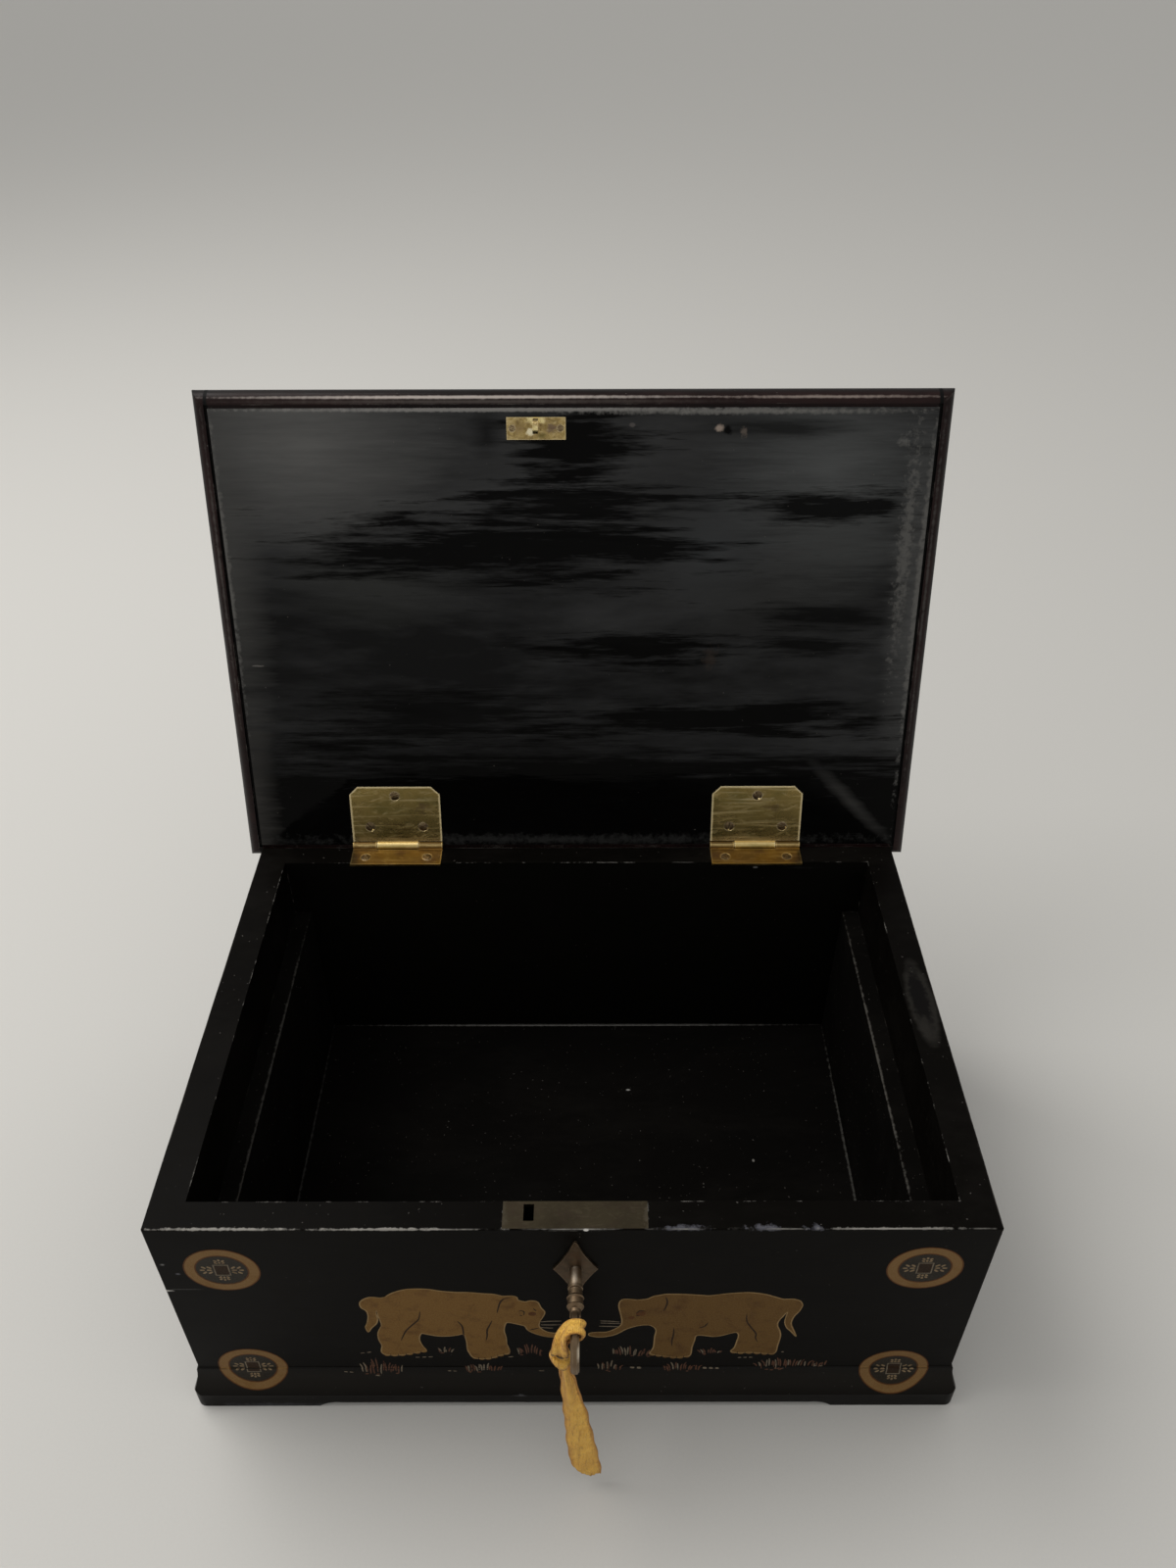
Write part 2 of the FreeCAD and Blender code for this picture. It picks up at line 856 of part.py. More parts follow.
def ribbon_knot():
    """A loop over the top of the bow, drawn back through it into a round knot beside it."""
    y = front_y - knot_y - loop_w / 2 + loop_ahead
    half = bow_t / 2 + loop_room
    crown_z = key_z + bow_half_z - bow_t / 2

    def at(x, z):
        return Vector(lock_x + x, y, z)

    # The right leg comes back through the hole of the bow, well clear of its bottom bar
    through = key_z - bow_half_z + bow_bar + ribbon_t + loop_lift
    outline = [arc(at(-half, crown_z), at(0, crown_z + half), at(half, crown_z))]
    corners = [
        at(half, crown_z),
        at(half, through + loop_slant),
        at(-half, through),
        at(knot_x + 1.0, knot_z + knot_r / 2),
        at(knot_x - 1.0, knot_z + knot_r / 2),
        at(-half, crown_z),
    ]
    outline += [line(p, q) for p, q in zip(corners, corners[1:])]
    inside = Part.Wire(outline)
    outside = inside.makeOffset2D(ribbon_t)
    depth = Vector(0, loop_w, 0)
    loop = Part.Face(outside).extrude(depth).cut(Part.Face(inside).extrude(depth))

    centre = Vector(lock_x + knot_x, front_y - knot_y, knot_z)
    half_w = knot_w / 2

    def rim(dy, r):
        return centre.add(Vector(0, dy, r))

    bulge = polygon(
        [
            rim(-half_w, 0),
            rim(-half_w, knot_r * 0.45),
            rim(-half_w * 0.5, knot_r),
            rim(half_w * 0.5, knot_r),
            rim(half_w, knot_r * 0.45),
            rim(half_w, 0),
        ]
    )
    knot = Part.Face(Part.Wire(bulge)).revolve(centre, Vector(0, 1, 0), 360)
    return loop.fuse(knot).removeSplitter()


def ribbon_tail():
    """The hanging end, gathered below the knot and opening out flat towards its cut end."""
    top = knot_z - knot_r - tail_gap
    sections = []
    for share, width, cup in tail_stations:
        x = lock_x + knot_x + tail_start_x + tail_run_x * share
        y = front_y - knot_y - tail_run_y * share**1.3
        z = top + (tail_end_z - top) * share
        half = width / 2
        inner = half - ribbon_t * 0.3

        def at(dx, dy):
            return Vector(x + dx, y + dy, z)

        front = [at(-half, 0), at(-half * 0.4, -cup), at(half * 0.4, -cup), at(half, 0)]
        behind = [at(inner, ribbon_t), at(0, ribbon_t - cup), at(-inner, ribbon_t)]
        sections.append(Part.Wire(polygon(front + behind)))
    return Part.makeLoft(sections, True, True)


def build():
    os.makedirs("parts", exist_ok=True)
    bottom = box(-inner_x, inner_x, -inner_y, inner_y, foot_h, floor_z)
    save("front_board", front_board())
    save("back_board", back_board())
    save("bottom_board", bottom)
    sides = {"front": (0, case_w, case_d / 2), "right": (90, case_d, case_w / 2)}
    sides.update({"back": (180, case_w, case_d / 2), "left": (270, case_d, case_w / 2)})
    for name, (turn, length, distance) in sides.items():
        save("base_moulding_" + name, base_moulding(turn, length, distance))
        save("lid_moulding_" + name, opened(lid_moulding(turn, length, distance)))
    for name, side in (("left", -1), ("right", 1)):
        save("side_board_" + name, side_board(side))
        save("tray_ledge_" + name, tray_ledge(side))
        save("hinge_rim_leaf_" + name, rim_leaf(side))
        save("hinge_lid_leaf_" + name, opened(lid_leaf(side)))
        save("hinge_pin_" + name, hinge_pin(side))
    save("rim_hinge_screws", Part.makeCompound([rim_screws(s) for s in (-1, 1)]))
    save("lid_hinge_screws", opened(Part.makeCompound([lid_screws(s) for s in (-1, 1)])))
    save("lid_panel", opened(lid_panel()))
    save("keeper_plate", opened(keeper_plate()))
    save("keeper_link", opened(link()))
    save("keeper_screws", opened(keeper_screws()))
    save("escutcheon", escutcheon())
    save("lock_plate", lock_plate())
    save("lock_case", lock_case())
    save("lock_screws", lock_screws())
    save("drill_pin", studs()[0])
    save("bolt_studs", Part.makeCompound(studs()[1:]))
    save("bolt_spring", bolt_spring())
    save("lock_bolt", lock_bolt())
    save("key", key())
    save("ribbon_knot", ribbon_knot())
    save("ribbon_tail", ribbon_tail())
    print("the lid stands open by", round(open_angle, 2), "degrees")
    print("hinge axis at y", axis_y, "z", axis_z)
    print("key axis at x", lock_x, "z", key_z, "and knot at x", lock_x + knot_x, "z", knot_z)


build()
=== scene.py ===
# %% [markdown]
# # A lacquered wooden box
#
# The box is black lacquer with its lid wide open, brass hinges, a lock with its key, a soft ribbon
# on the key, and gilt painting on the front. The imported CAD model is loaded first, as a fixed
# frame. Everything below is in metres and sits where the CAD says, so nothing has to be fitted.

import math
import random

import bmesh
import bpy
from mathutils import Matrix, Vector


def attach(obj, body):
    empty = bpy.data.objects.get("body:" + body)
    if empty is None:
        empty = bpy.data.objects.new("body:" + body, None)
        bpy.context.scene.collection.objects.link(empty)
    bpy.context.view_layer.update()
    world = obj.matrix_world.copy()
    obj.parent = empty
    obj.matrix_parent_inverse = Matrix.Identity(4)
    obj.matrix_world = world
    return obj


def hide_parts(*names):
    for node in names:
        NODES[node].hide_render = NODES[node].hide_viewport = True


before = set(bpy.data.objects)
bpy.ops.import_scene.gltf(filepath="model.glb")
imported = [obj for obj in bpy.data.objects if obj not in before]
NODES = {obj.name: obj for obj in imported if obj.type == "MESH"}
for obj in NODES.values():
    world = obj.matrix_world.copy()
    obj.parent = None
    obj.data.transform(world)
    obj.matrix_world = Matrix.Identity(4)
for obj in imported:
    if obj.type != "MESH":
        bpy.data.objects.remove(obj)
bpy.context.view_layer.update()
MM = 0.001
HINGE_AXIS = Vector((0, 100.5, 123.8)) * MM
LID_OPEN = math.radians(104.41)
print("pieces loaded:", len(NODES))

# %% [markdown]
# ## The camera
#
# A photograph is matched from the outside in: first the place and lens of the camera, then all
# else. The camera stands in front of the box and half a metre up, looking down at 38 degrees. The
# numbers come from corners of the box whose true places are known. The depth of field stays off.

# %% Place the camera
CAMERA_PLACE = Vector((6.311, -329.212, 502.266)) * MM
LOOK_DOWN, YAW, ROLL = math.radians(38.451), math.radians(0.085), math.radians(0.172)

bpy.ops.object.select_all(action="DESELECT")
bpy.ops.object.camera_add()
camera = bpy.context.object
camera.name = "studio_camera"
camera.data.sensor_fit = "AUTO"
camera.data.sensor_width = 36
camera.data.lens = 27.503
camera.data.clip_start = 0.01
turn = (Matrix.Rotation(YAW, 4, "Z") @ Matrix.Rotation(math.pi / 2 - LOOK_DOWN, 4, "X")
        @ Matrix.Rotation(-ROLL, 4, "Z"))
camera.matrix_world = Matrix.Translation(CAMERA_PLACE) @ turn
bpy.context.scene.camera = camera
print("camera at", [round(v, 3) for v in camera.location])

# %% [markdown]
# ## Helpers for shader nodes
#
# Every finish here is procedural: it is worked out from the place on the piece, never from a
# picture. Small helpers keep the node code short. The first two add a node and fill a socket with a
# value or a link, the next ones are single nodes that are used often, and the last two make and use
# groups.

# %% Node helpers
def add_node(tree, kind, values=None, **settings):
    """A node of that kind, its settings made, and its sockets set or linked."""
    node = tree.nodes.new(kind)
    for key, value in settings.items():
        setattr(node, key, value)
    for key, value in (values or {}).items():
        put(tree, value, node.inputs[key])
    return node


def put(tree, value, socket):
    """Links value to the socket if it is an output, and else writes it there."""
    if isinstance(value, bpy.types.NodeSocket):
        tree.links.new(value, socket)
    else:
        socket.default_value = value


def maths(tree, operation, a, b=0.5, c=0.0, clamp=False):
    """One Math node's result."""
    return add_node(tree, "ShaderNodeMath", {0: a, 1: b, 2: c},
                    operation=operation, use_clamp=clamp).outputs[0]


def times(tree, a, b, clamp=False):
    """One value times another."""
    return maths(tree, "MULTIPLY", a, b, clamp=clamp)


def vector_maths(tree, operation, a, b=(0, 0, 0)):
    """One Vector Math node's result, which is a number for a length or a dot product."""
    node = add_node(tree, "ShaderNodeVectorMath", {0: a, 1: b}, operation=operation)
    return node.outputs["Value" if operation in ("LENGTH", "DOT_PRODUCT") else 0]


def ramp(tree, value, low, high):
    """value spread evenly from low..high to 0..1, held at its ends."""
    return add_node(tree, "ShaderNodeMapRange", {0: value, 1: low, 2: high}).outputs[0]


def rescale(tree, value, low, high, to_low=0.0, to_high=1.0):
    """value spread softly from low..high to another range, held at its ends."""
    node = add_node(tree, "ShaderNodeMapRange", {0: value, 1: low, 2: high, 3: to_low, 4: to_high})
    node.interpolation_type = "SMOOTHSTEP"
    return node.outputs[0]


def mix_colour(tree, share, first, second):
    """first at share 0, second at share 1."""
    node = tree.nodes.new("ShaderNodeMix")
    node.data_type = "RGBA"
    for socket, value in ((0, share), (6, first), (7, second)):
        put(tree, value, node.inputs[socket])
    return node.outputs[2]


def stretched(tree, place, scale, turned=(0, 0, 0)):
    """The place on the piece, turned and then scaled by a Mapping node."""
    return add_node(tree, "ShaderNodeMapping",
                    {"Vector": place, "Scale": scale, "Rotation": turned}).outputs[0]


def drawn_out(tree, place, length):
    """The place scaled by length along X only, so that a noise read there runs in streaks."""
    scale = add_node(tree, "ShaderNodeCombineXYZ", {0: length, 1: 1.0, 2: 1.0}).outputs[0]
    return vector_maths(tree, "MULTIPLY", place, scale)


def part_of(tree, vector, axis):
    """One axis of a vector."""
    return add_node(tree, "ShaderNodeSeparateXYZ", {0: vector}).outputs[axis]


def noise(tree, place, scale, detail=4.0, rough=0.55, distortion=0.0):
    """A Noise Texture's value."""
    return add_node(tree, "ShaderNodeTexNoise", {
        "Vector": place, "Scale": scale, "Detail": detail, "Roughness": rough,
        "Distortion": distortion}).outputs["Fac"]


def true_normal(tree):
    """The direction that the surface itself faces, without bumps or smooth shading."""
    return tree.nodes.new("ShaderNodeNewGeometry").outputs["True Normal"]


def make_group(name, outputs=("Mask",), **inputs):
    """A node group that reads the place and these inputs: its tree, its inputs, its outputs."""
    group = bpy.data.node_groups.new(name, "ShaderNodeTree")
    for socket, value in {"Place": None, **inputs}.items():
        kind = "NodeSocketVector" if value is None else "NodeSocketFloat"
        made = group.interface.new_socket(socket, in_out="INPUT", socket_type=kind)
        if value is not None:
            made.default_value = value
    for socket in outputs:
        group.interface.new_socket(socket, in_out="OUTPUT", socket_type="NodeSocketFloat")
    print("group made:", name, list(inputs), "->", list(outputs))
    made_inputs = group.nodes.new("NodeGroupInput").outputs
    return group, made_inputs, group.nodes.new("NodeGroupOutput").inputs


def use_group(tree, group, place, **values):
    """The group placed in a material with its own values; its outputs."""
    return add_node(tree, "ShaderNodeGroup", {"Place": place, **values}, node_tree=group).outputs


# %% [markdown]
# ## Shared surface effects
#
# Most finishes need the same few things, so each is a node group, built once:
# *hand-rubbed streaks*, where a cloth has left long hazy marks in the polish; *worn edges*, where
# lacquer or polish has rubbed through; *arris wear and highlight*, the same along an upper edge
# only, laid together with a painted highlight there; *fine scratches* for brass; *single mark*,
# which sits in one known place; *tarnish* for the blotches that old metal gathers; and *dust and
# specks*.

# %% Group: hand-rubbed streaks
streaks, g_in, g_out = make_group("hand_rubbed_streaks", ("Mask", "Fine"),
                                  Length=1.0, Size=30.0, Low=0.45, High=0.65)
laid = drawn_out(streaks, g_in["Place"], g_in["Length"])
wide = noise(streaks, laid, g_in["Size"], 6.0, 0.62, 0.6)
fine = noise(streaks, laid, times(streaks, g_in["Size"], 9.0), 3.0, 0.6)
both = maths(streaks, "MULTIPLY_ADD", fine, 0.25, times(streaks, wide, 0.85))
put(streaks, ramp(streaks, both, g_in["Low"], g_in["High"]), g_out["Mask"])
put(streaks, fine, g_out["Fine"])


# %% Group: worn edges
def worn_through(tree, patches, amount, start, width):
    """1 where the patches are high, over more of the surface as the amount rises."""
    lowest = maths(tree, "SUBTRACT", start, times(tree, amount, 0.5))
    return ramp(tree, patches, lowest, maths(tree, "ADD", lowest, width))


worn, g_in, g_out = make_group("worn_edges", Radius=0.7 * MM, Patchiness=60.0, Amount=0.5)
rounded = add_node(worn, "ShaderNodeBevel", {"Radius": g_in["Radius"]}, samples=4).outputs[0]
edge = rescale(worn, vector_maths(worn, "DOT_PRODUCT", rounded, true_normal(worn)), 0.995, 0.86)
patches = noise(worn, g_in["Place"], g_in["Patchiness"], 5.0, 0.7)
kept = worn_through(worn, patches, g_in["Amount"], 0.78, 0.12)
put(worn, times(worn, edge, kept, clamp=True), g_out["Mask"])

# %% Group: arris wear and painted highlight
arris, g_in, g_out = make_group("arris_wear_and_highlight", Patchiness=40.0, Amount=0.5)
# only the arrises that face upwards, where wear and a painted highlight are laid together
upward = part_of(arris, true_normal(arris), "Z")
band = times(arris, rescale(arris, upward, 0.3, 0.6), rescale(arris, upward, 0.96, 0.85))
patches = noise(arris, g_in["Place"], g_in["Patchiness"], 5.0, 0.75)
kept = worn_through(arris, patches, g_in["Amount"], 0.75, 0.16)
put(arris, times(arris, band, kept, clamp=True), g_out["Mask"])

# %% Group: fine scratches
scratches, g_in, g_out = make_group("fine_scratches", Length=0.08, Size=900.0)
found = 0.0
for angle, share in ((0.0, 1.0), (0.35, 0.7), (-0.5, 0.5)):
    tilted = stretched(scratches, g_in["Place"], (1, 1, 1), (angle * 0.3, angle, angle * 0.5))
    laid = drawn_out(scratches, tilted, g_in["Length"])
    hair = noise(scratches, laid, g_in["Size"], 2.0, 0.5)
    line = rescale(scratches, hair, 0.56, 0.72, 0.0, share)
    found = maths(scratches, "MAXIMUM", line, found)
put(scratches, found, g_out["Mask"])

# %% Group: one mark of a given place and size
mark, g_in, g_out = make_group("single_mark", Middle=None, Reach=None, Torn=0.5, Ragged=0.5,
                               Soft=0.6, Lean=0.0)
away = vector_maths(mark, "SUBTRACT", g_in["Place"], g_in["Middle"])
lean = times(mark, part_of(mark, away, "Z"), g_in["Lean"])
shift = add_node(mark, "ShaderNodeCombineXYZ", {0: lean}).outputs[0]
away = vector_maths(mark, "SUBTRACT", away, shift)
away = vector_maths(mark, "LENGTH", vector_maths(mark, "DIVIDE", away, g_in["Reach"]))
torn = times(mark, maths(mark, "SUBTRACT", g_in["Torn"], 0.5), g_in["Ragged"])
away = maths(mark, "MULTIPLY_ADD", torn, 3.2, away)
put(mark, ramp(mark, away, 1.0, maths(mark, "SUBTRACT", 1.0, g_in["Soft"])), g_out["Mask"])

# %% Group: tarnish
tarnish, g_in, g_out = make_group("tarnish", Size=120.0, Amount=0.5)
cloud = noise(tarnish, g_in["Place"], g_in["Size"], 5.0, 0.6, 0.15)
put(tarnish, worn_through(tarnish, cloud, g_in["Amount"], 0.8, 0.32), g_out["Mask"])

# %% Group: dust and specks
specks, g_in, g_out = make_group("dust_and_specks", Size=700.0, Rarity=0.72)
dots = noise(specks, g_in["Place"], g_in["Size"], 1.0, 0.5)
gathered = noise(specks, g_in["Place"], 25.0, 3.0, 0.6)
level = maths(specks, "MULTIPLY_ADD", gathered, -0.12, maths(specks, "ADD", g_in["Rarity"], 0.06))
put(specks, ramp(specks, dots, level, maths(specks, "ADD", level, 0.03)), g_out["Mask"])

# %% [markdown]
# ## A material's frame
#
# Each material is a Principled shader that reads Object coordinates. The helper gives the tree, the
# place on the piece and the shader. What is the same all over the surface is set on the shader. The
# others lay a tint over a colour by a mask, turn a height into relief, and write a near grey.

# %% Start a material
def start_material(name, **plain):
    """A new material, with its tree, its Object coordinates and its Principled shader."""
    material = bpy.data.materials.new(name)
    material.use_nodes = True
    tree = material.node_tree
    shader = tree.nodes["Principled BSDF"]
    for socket, value in plain.items():
        shader.inputs[socket.replace("_", " ")].default_value = value
    place = tree.nodes.new("ShaderNodeTexCoord").outputs["Object"]
    return material, tree, place, shader


def tinted(tree, colour, mask, share, tint):
    """The tint laid over the colour by the mask, at most by that share."""
    return mix_colour(tree, times(tree, mask, share), colour, tint)


def tinted_above(tree, colour, value, low, high, share, tint):
    """The tint laid over the colour, from none at low to that share at high."""
    return mix_colour(tree, rescale(tree, value, low, high, 0.0, share), colour, tint)


def bump(tree, shader, height, depth):
    """The height as relief of that depth in metres."""
    node = add_node(tree, "ShaderNodeBump", {"Height": height, "Distance": depth})
    put(tree, node.outputs[0], shader.inputs["Normal"])


def grey(value, warm=1.0):
    """A near neutral colour, a little warm."""
    return (value * warm, value, value / warm ** 1.3, 1.0)


# %% [markdown]
# ## Black lacquer
#
# Lacquer is many thin black coats rubbed flat. The case has a satin shine, the underside of the lid
# was polished and has a grey haze, lighter towards its top corners with painted sheen, and ragged
# deep black patches, darker towards the hinge, and the inside is duller and a little dusty. One
# function makes all of them. Streaks lift the colour and the roughness, the worn-edge masks bare
# the pale ground coat along the arrises and along the upper arrises also paint a pale highlight,
# and a list of single marks adds what sits in one known place: a chip, a ring left by a glass, dust
# in a corner, and painted highlights, glints and shade. A mark is a place, so on the thin lid it
# would
# show on both faces: the outer one is masked off.

# %% Lacquer finishes
ANY = 9000.0  # a reach in mm that is as good as endless
SMALL_MARK = 4.5
SIDE, END, JOINT = 137.0, 89.0, 4.8  # inner faces of the case and depth of its joints, in mm
LID_MIDDLE = 5 * MM  # between the two faces of the lid, measured from the hinge axis
PLAIN_SHINE = (0.30, 0.42)
PALE_DUST = (0.12, 0.11, 0.10, 1)
RIPPLE = 0.06 * MM


def torn_edges(tree, place):
    """Two noises that tear the edges of marks: streaks for wide ones and grains for small ones."""
    wide = noise(tree, stretched(tree, place, (0.14, 1, 1)), 60.0, 6.0, 0.74, 0.3)
    fibre = noise(tree, stretched(tree, place, (0.07, 1, 1)), 320.0, 4.0, 0.7)
    streaky = maths(tree, "MULTIPLY_ADD", fibre, 0.5, times(tree, wide, 0.5))
    return streaky, noise(tree, place, 420.0, 4.0, 0.65)


def marked(tree, place, edges, middle, reach, ragged, soft, lean=0.0):
    """The mask of one mark, from its middle and reach in mm; lean is its shift in X per mm up."""
    torn = edges[min(reach) < SMALL_MARK]
    return use_group(tree, mark, place, Middle=[v * MM for v in middle],
                     Reach=[v * MM for v in reach], Torn=torn, Ragged=ragged, Soft=soft,
                     Lean=lean)["Mask"]


def on_upper_face(tree, place):
    """1 on the outer face of the open lid, which has none of the marks of its underside."""
    from_axis = vector_maths(tree, "SUBTRACT", place, HINGE_AXIS)
    outwards = (0, math.sin(LID_OPEN), math.cos(LID_OPEN))
    depth = vector_maths(tree, "DOT_PRODUCT", from_axis, outwards)
    return maths(tree, "GREATER_THAN", depth, LID_MIDDLE)


def off_the_joints(tree, place):
    """1 everywhere but on the corner joints, which the lacquer fills and hides."""
    side = maths(tree, "ABSOLUTE", part_of(tree, place, "X"))
    front = maths(tree, "ABSOLUTE", part_of(tree, place, "Y"))
    on_joint = times(tree, maths(tree, "GREATER_THAN", side, (SIDE - 1.0) * MM),
                     maths(tree, "LESS_THAN", side, (SIDE + JOINT) * MM))
    on_joint = times(tree, on_joint, maths(tree, "GREATER_THAN", front, (END + 0.4) * MM))
    return maths(tree, "SUBTRACT", 1.0, on_joint)


def front_to_back(rows):
    """Marks that run through from front to back, from rows of x, z, half width and half height."""
    return [((x, 0, z), (wide, ANY, high), *rest) for x, z, wide, high, *rest in rows]


def lacquer(name, deep, haze, shine, streak, wear, edge_wear_and_highlight, dust, specular, arris_line_amount, marks,
            upper_face=None):
    """Black lacquer, deep coloured with hazy streaks.

    shine is the roughness of deep and of hazy places, streak the length, size, low and high of the
    streaks, and each mark its (middle mm, reach mm, ragged, soft, colour, share, roughness, lean).
    """
    material, tree, place, shader = start_material(name, IOR=1.5, Specular_IOR_Level=specular)
    rub = use_group(tree, streaks, place, **dict(zip(("Length", "Size", "Low", "High"), streak)))
    edge = use_group(tree, worn, place, Patchiness=95.0, Amount=wear)["Mask"]
    edge = times(tree, edge, off_the_joints(tree, place))
    # a pale line along the upper arrises: wear and a painted highlight
    if arris_line_amount is not None:
        along = stretched(tree, place, (0.3, 0.3, 1))
        line = use_group(tree, arris, along, Patchiness=70.0, Amount=arris_line_amount)["Mask"]
        edge = maths(tree, "MAXIMUM", edge, line)
    colour = mix_colour(tree, rub["Mask"], deep, haze)
    rough = rescale(tree, rub["Mask"], 0.0, 1.0, *shine)
    edges = torn_edges(tree, place)
    for middle, reach, ragged, soft, tint, share, dull, *lean in marks:
        here = times(tree, marked(tree, place, edges, middle, reach, ragged, soft, *lean), share)
        colour = mix_colour(tree, here, colour, tint)
        rough = maths(tree, "MULTIPLY_ADD", here, dull, rough, clamp=True)
    if upper_face is not None:
        above = on_upper_face(tree, place)
        colour = mix_colour(tree, above, colour, mix_colour(tree, rub["Mask"], *upper_face))
        plain = rescale(tree, rub["Mask"], 0.0, 1.0, *PLAIN_SHINE)
        rough = maths(tree, "ADD", times(tree, above, plain),
                      times(tree, maths(tree, "SUBTRACT", 1.0, above), rough))
    speck = use_group(tree, specks, place, Size=900.0, Rarity=dust)["Mask"]
    colour = tinted(tree, colour, speck, 0.55, PALE_DUST)
    put(tree, mix_colour(tree, edge, colour, edge_wear_and_highlight), shader.inputs["Base Color"])
    rough = maths(tree, "MULTIPLY_ADD", edge, 0.25, rough)
    put(tree, maths(tree, "MULTIPLY_ADD", rub["Fine"], 0.08, rough), shader.inputs["Roughness"])
    wave = noise(tree, place, 30.0, 2.0)
    grain = noise(tree, stretched(tree, place, (0.12, 1, 1)), 420.0, 3.0)
    height = maths(tree, "MULTIPLY_ADD", wave, 4.0, times(tree, grain, 0.35))
    bump(tree, shader, maths(tree, "SUBTRACT", height, times(tree, edge, 1.5)), RIPPLE)
    return material


# %% Marks in the lacquer, and the five lacquers
# the pale ground coat where the lacquer is worn through, also the colour of the painted highlight
# along the rim's front arris
PALE_WEAR_AND_HIGHLIGHT = (0.30, 0.285, 0.26, 1)
BLUED = (0.115, 0.115, 0.135, 1)
CASE_MARKS_AND_HIGHLIGHT = [
    ((143.6, 3, 123), (6.2, 25, ANY), 0.25, 0.25, (0.020, 0.0185, 0.016, 1), 0.85, 0.1),
    ((143.2, 4, 123), (4.2, 20, ANY), 0.35, 0.35, (0.0045, 0.004, 0.004, 1), 0.9, 0.0),
    ((142.5, -10, 123), (3.0, 8, ANY), 0.5, 0.6, (0.024, 0.022, 0.019, 1), 0.6, 0.1),
    ((84.6, 89, 119.8), (1.3, 2, 0.7), 0.3, 0.4, (0.75, 0.73, 0.68, 1), 1.0, 0.2),
    ((107, 89, 119.6), (9, 2, 0.9), 1.0, 0.8, (0.05, 0.05, 0.048, 1), 0.8, 0.1),
    ((-149.0, -99, 82.6), (2.4, 4, 0.7), 0.6, 0.5, (0.46, 0.44, 0.41, 1), 1.0, 0.2),
    ((-142.5, -100, 83.6), (8, 2, 0.35), 0.8, 0.7, (0.06, 0.058, 0.055, 1), 0.9, 0.1),
    ((-147.1, -100, 100.5), (1.1, 2, 0.8), 0.6, 0.6, (0.16, 0.155, 0.15, 1), 0.9, 0.1),
    ((-142.9, -100, 94.3), (1.0, 2, 0.7), 0.6, 0.6, (0.09, 0.09, 0.10, 1), 0.9, 0.1),
    # pale rows along the rim's front arris: a painted highlight with worn patches
    ((-122, -99.8, 123), (32, 0.8, 0.6), 0.8, 0.6, PALE_WEAR_AND_HIGHLIGHT, 1.0, 0.2),
    ((-66, -99.8, 122.8), (30, 0.6, 0.5), 0.9, 0.6, PALE_WEAR_AND_HIGHLIGHT, 0.9, 0.2),
    ((4.8, -100, 122.6), (1.1, 1.2, 0.9), 0.2, 0.4, (0.80, 0.78, 0.74, 1), 1.0, 0.2),
    ((-3, -100, 122.2), (7, 1.2, 0.4), 1.1, 0.7, PALE_WEAR_AND_HIGHLIGHT, 0.16, 0.2),
    ((38.7, -99.6, 122.8), (9, 1.3, 0.8), 1.1, 0.7, BLUED, 0.6, 0.2),
    ((67, -99.5, 122.7), (6.0, 1.7, 1.0), 1.1, 0.7, BLUED, 0.7, 0.2),
    ((85, -99.6, 122.8), (4.2, 1.4, 0.9), 1.1, 0.7, BLUED, 0.7, 0.2),
    # more of the painted highlight along the front arris
    ((112, -99.8, 122.9), (30, 0.6, 0.5), 1.0, 0.7, PALE_WEAR_AND_HIGHLIGHT, 0.6, 0.2),
    ((0, 89, 60), (137.4, 0.8, ANY), 0.0, 0.1, (0.0040, 0.0038, 0.0030, 1), 0.8, 0.1),
    ((0, 89, 7.4), (124, 1.5, 0.55), 0.35, 0.5, (0.16, 0.155, 0.145, 1), 0.8, 0.2)]
# the first two lighten the joint at the lip and the hollow of the moulding, painted light against
# their shade; the rest are pale scuffs along the bottom
BASE_MARKS_AND_PAINTED_LIGHT = [((0, 0, 24.2), (ANY, ANY, 1.2), 0.0, 0.4, (0.011, 0.0105, 0.010, 1), 0.9, 0.1),
              ((0, 0, 16), (ANY, ANY, 9), 0.0, 0.7, (0.0135, 0.0118, 0.0098, 1), 0.75, 0.0),
              ((-120, -104, 1.2), (34, 3, 1.6), 1.0, 0.8, (0.05, 0.05, 0.055, 1), 0.7, 0.2),
              ((-22, -104, 8.5), (3, 3, 1.0), 0.8, 0.5, (0.07, 0.07, 0.075, 1), 0.8, 0.2),
              ((60, -104, 0.8), (60, 3, 0.9), 1.0, 0.8, (0.04, 0.04, 0.04, 1), 0.6, 0.2)]
INNER_MARKS = [
    ((0, 88.9, 7), (128, 0.75, 0.6), 0.3, 0.5, (0.17, 0.165, 0.155, 1), 0.85, 0.2),
    ((-128.9, 0, 7), (0.7, 88, 0.6), 0.9, 0.8, (0.05, 0.048, 0.045, 1), 0.8, 0.2),
    ((128.9, 0, 7), (0.8, 88, 0.6), 0.9, 0.8, (0.08, 0.078, 0.07, 1), 0.8, 0.2),
    ((129.5, 0, 90.4), (0.8, 92, 0.8), 1.0, 0.8, (0.09, 0.085, 0.075, 1), 0.8, 0.1),
    ((-129.5, 0, 90.4), (0.8, 92, 0.8), 1.0, 0.8, (0.06, 0.057, 0.052, 1), 0.8, 0.1),
    ((25.5, 47, 7), (1.3, 0.6, ANY), 0.4, 0.5, (0.35, 0.34, 0.32, 1), 0.9, 0.2),
    ((84, 6, 7), (0.7, 0.9, ANY), 0.4, 0.5, (0.22, 0.21, 0.19, 1), 0.9, 0.2),
    ((-60, -30, 7), (70, 45, ANY), 0.9, 0.9, (0.006, 0.006, 0.0055, 1), 0.5, 0.05)]
DEEP = (0.0012, 0.0011, 0.0010, 1)
DUST = (0.12, 0.117, 0.11, 1)
SMEAR = (0.040, 0.039, 0.037, 1)
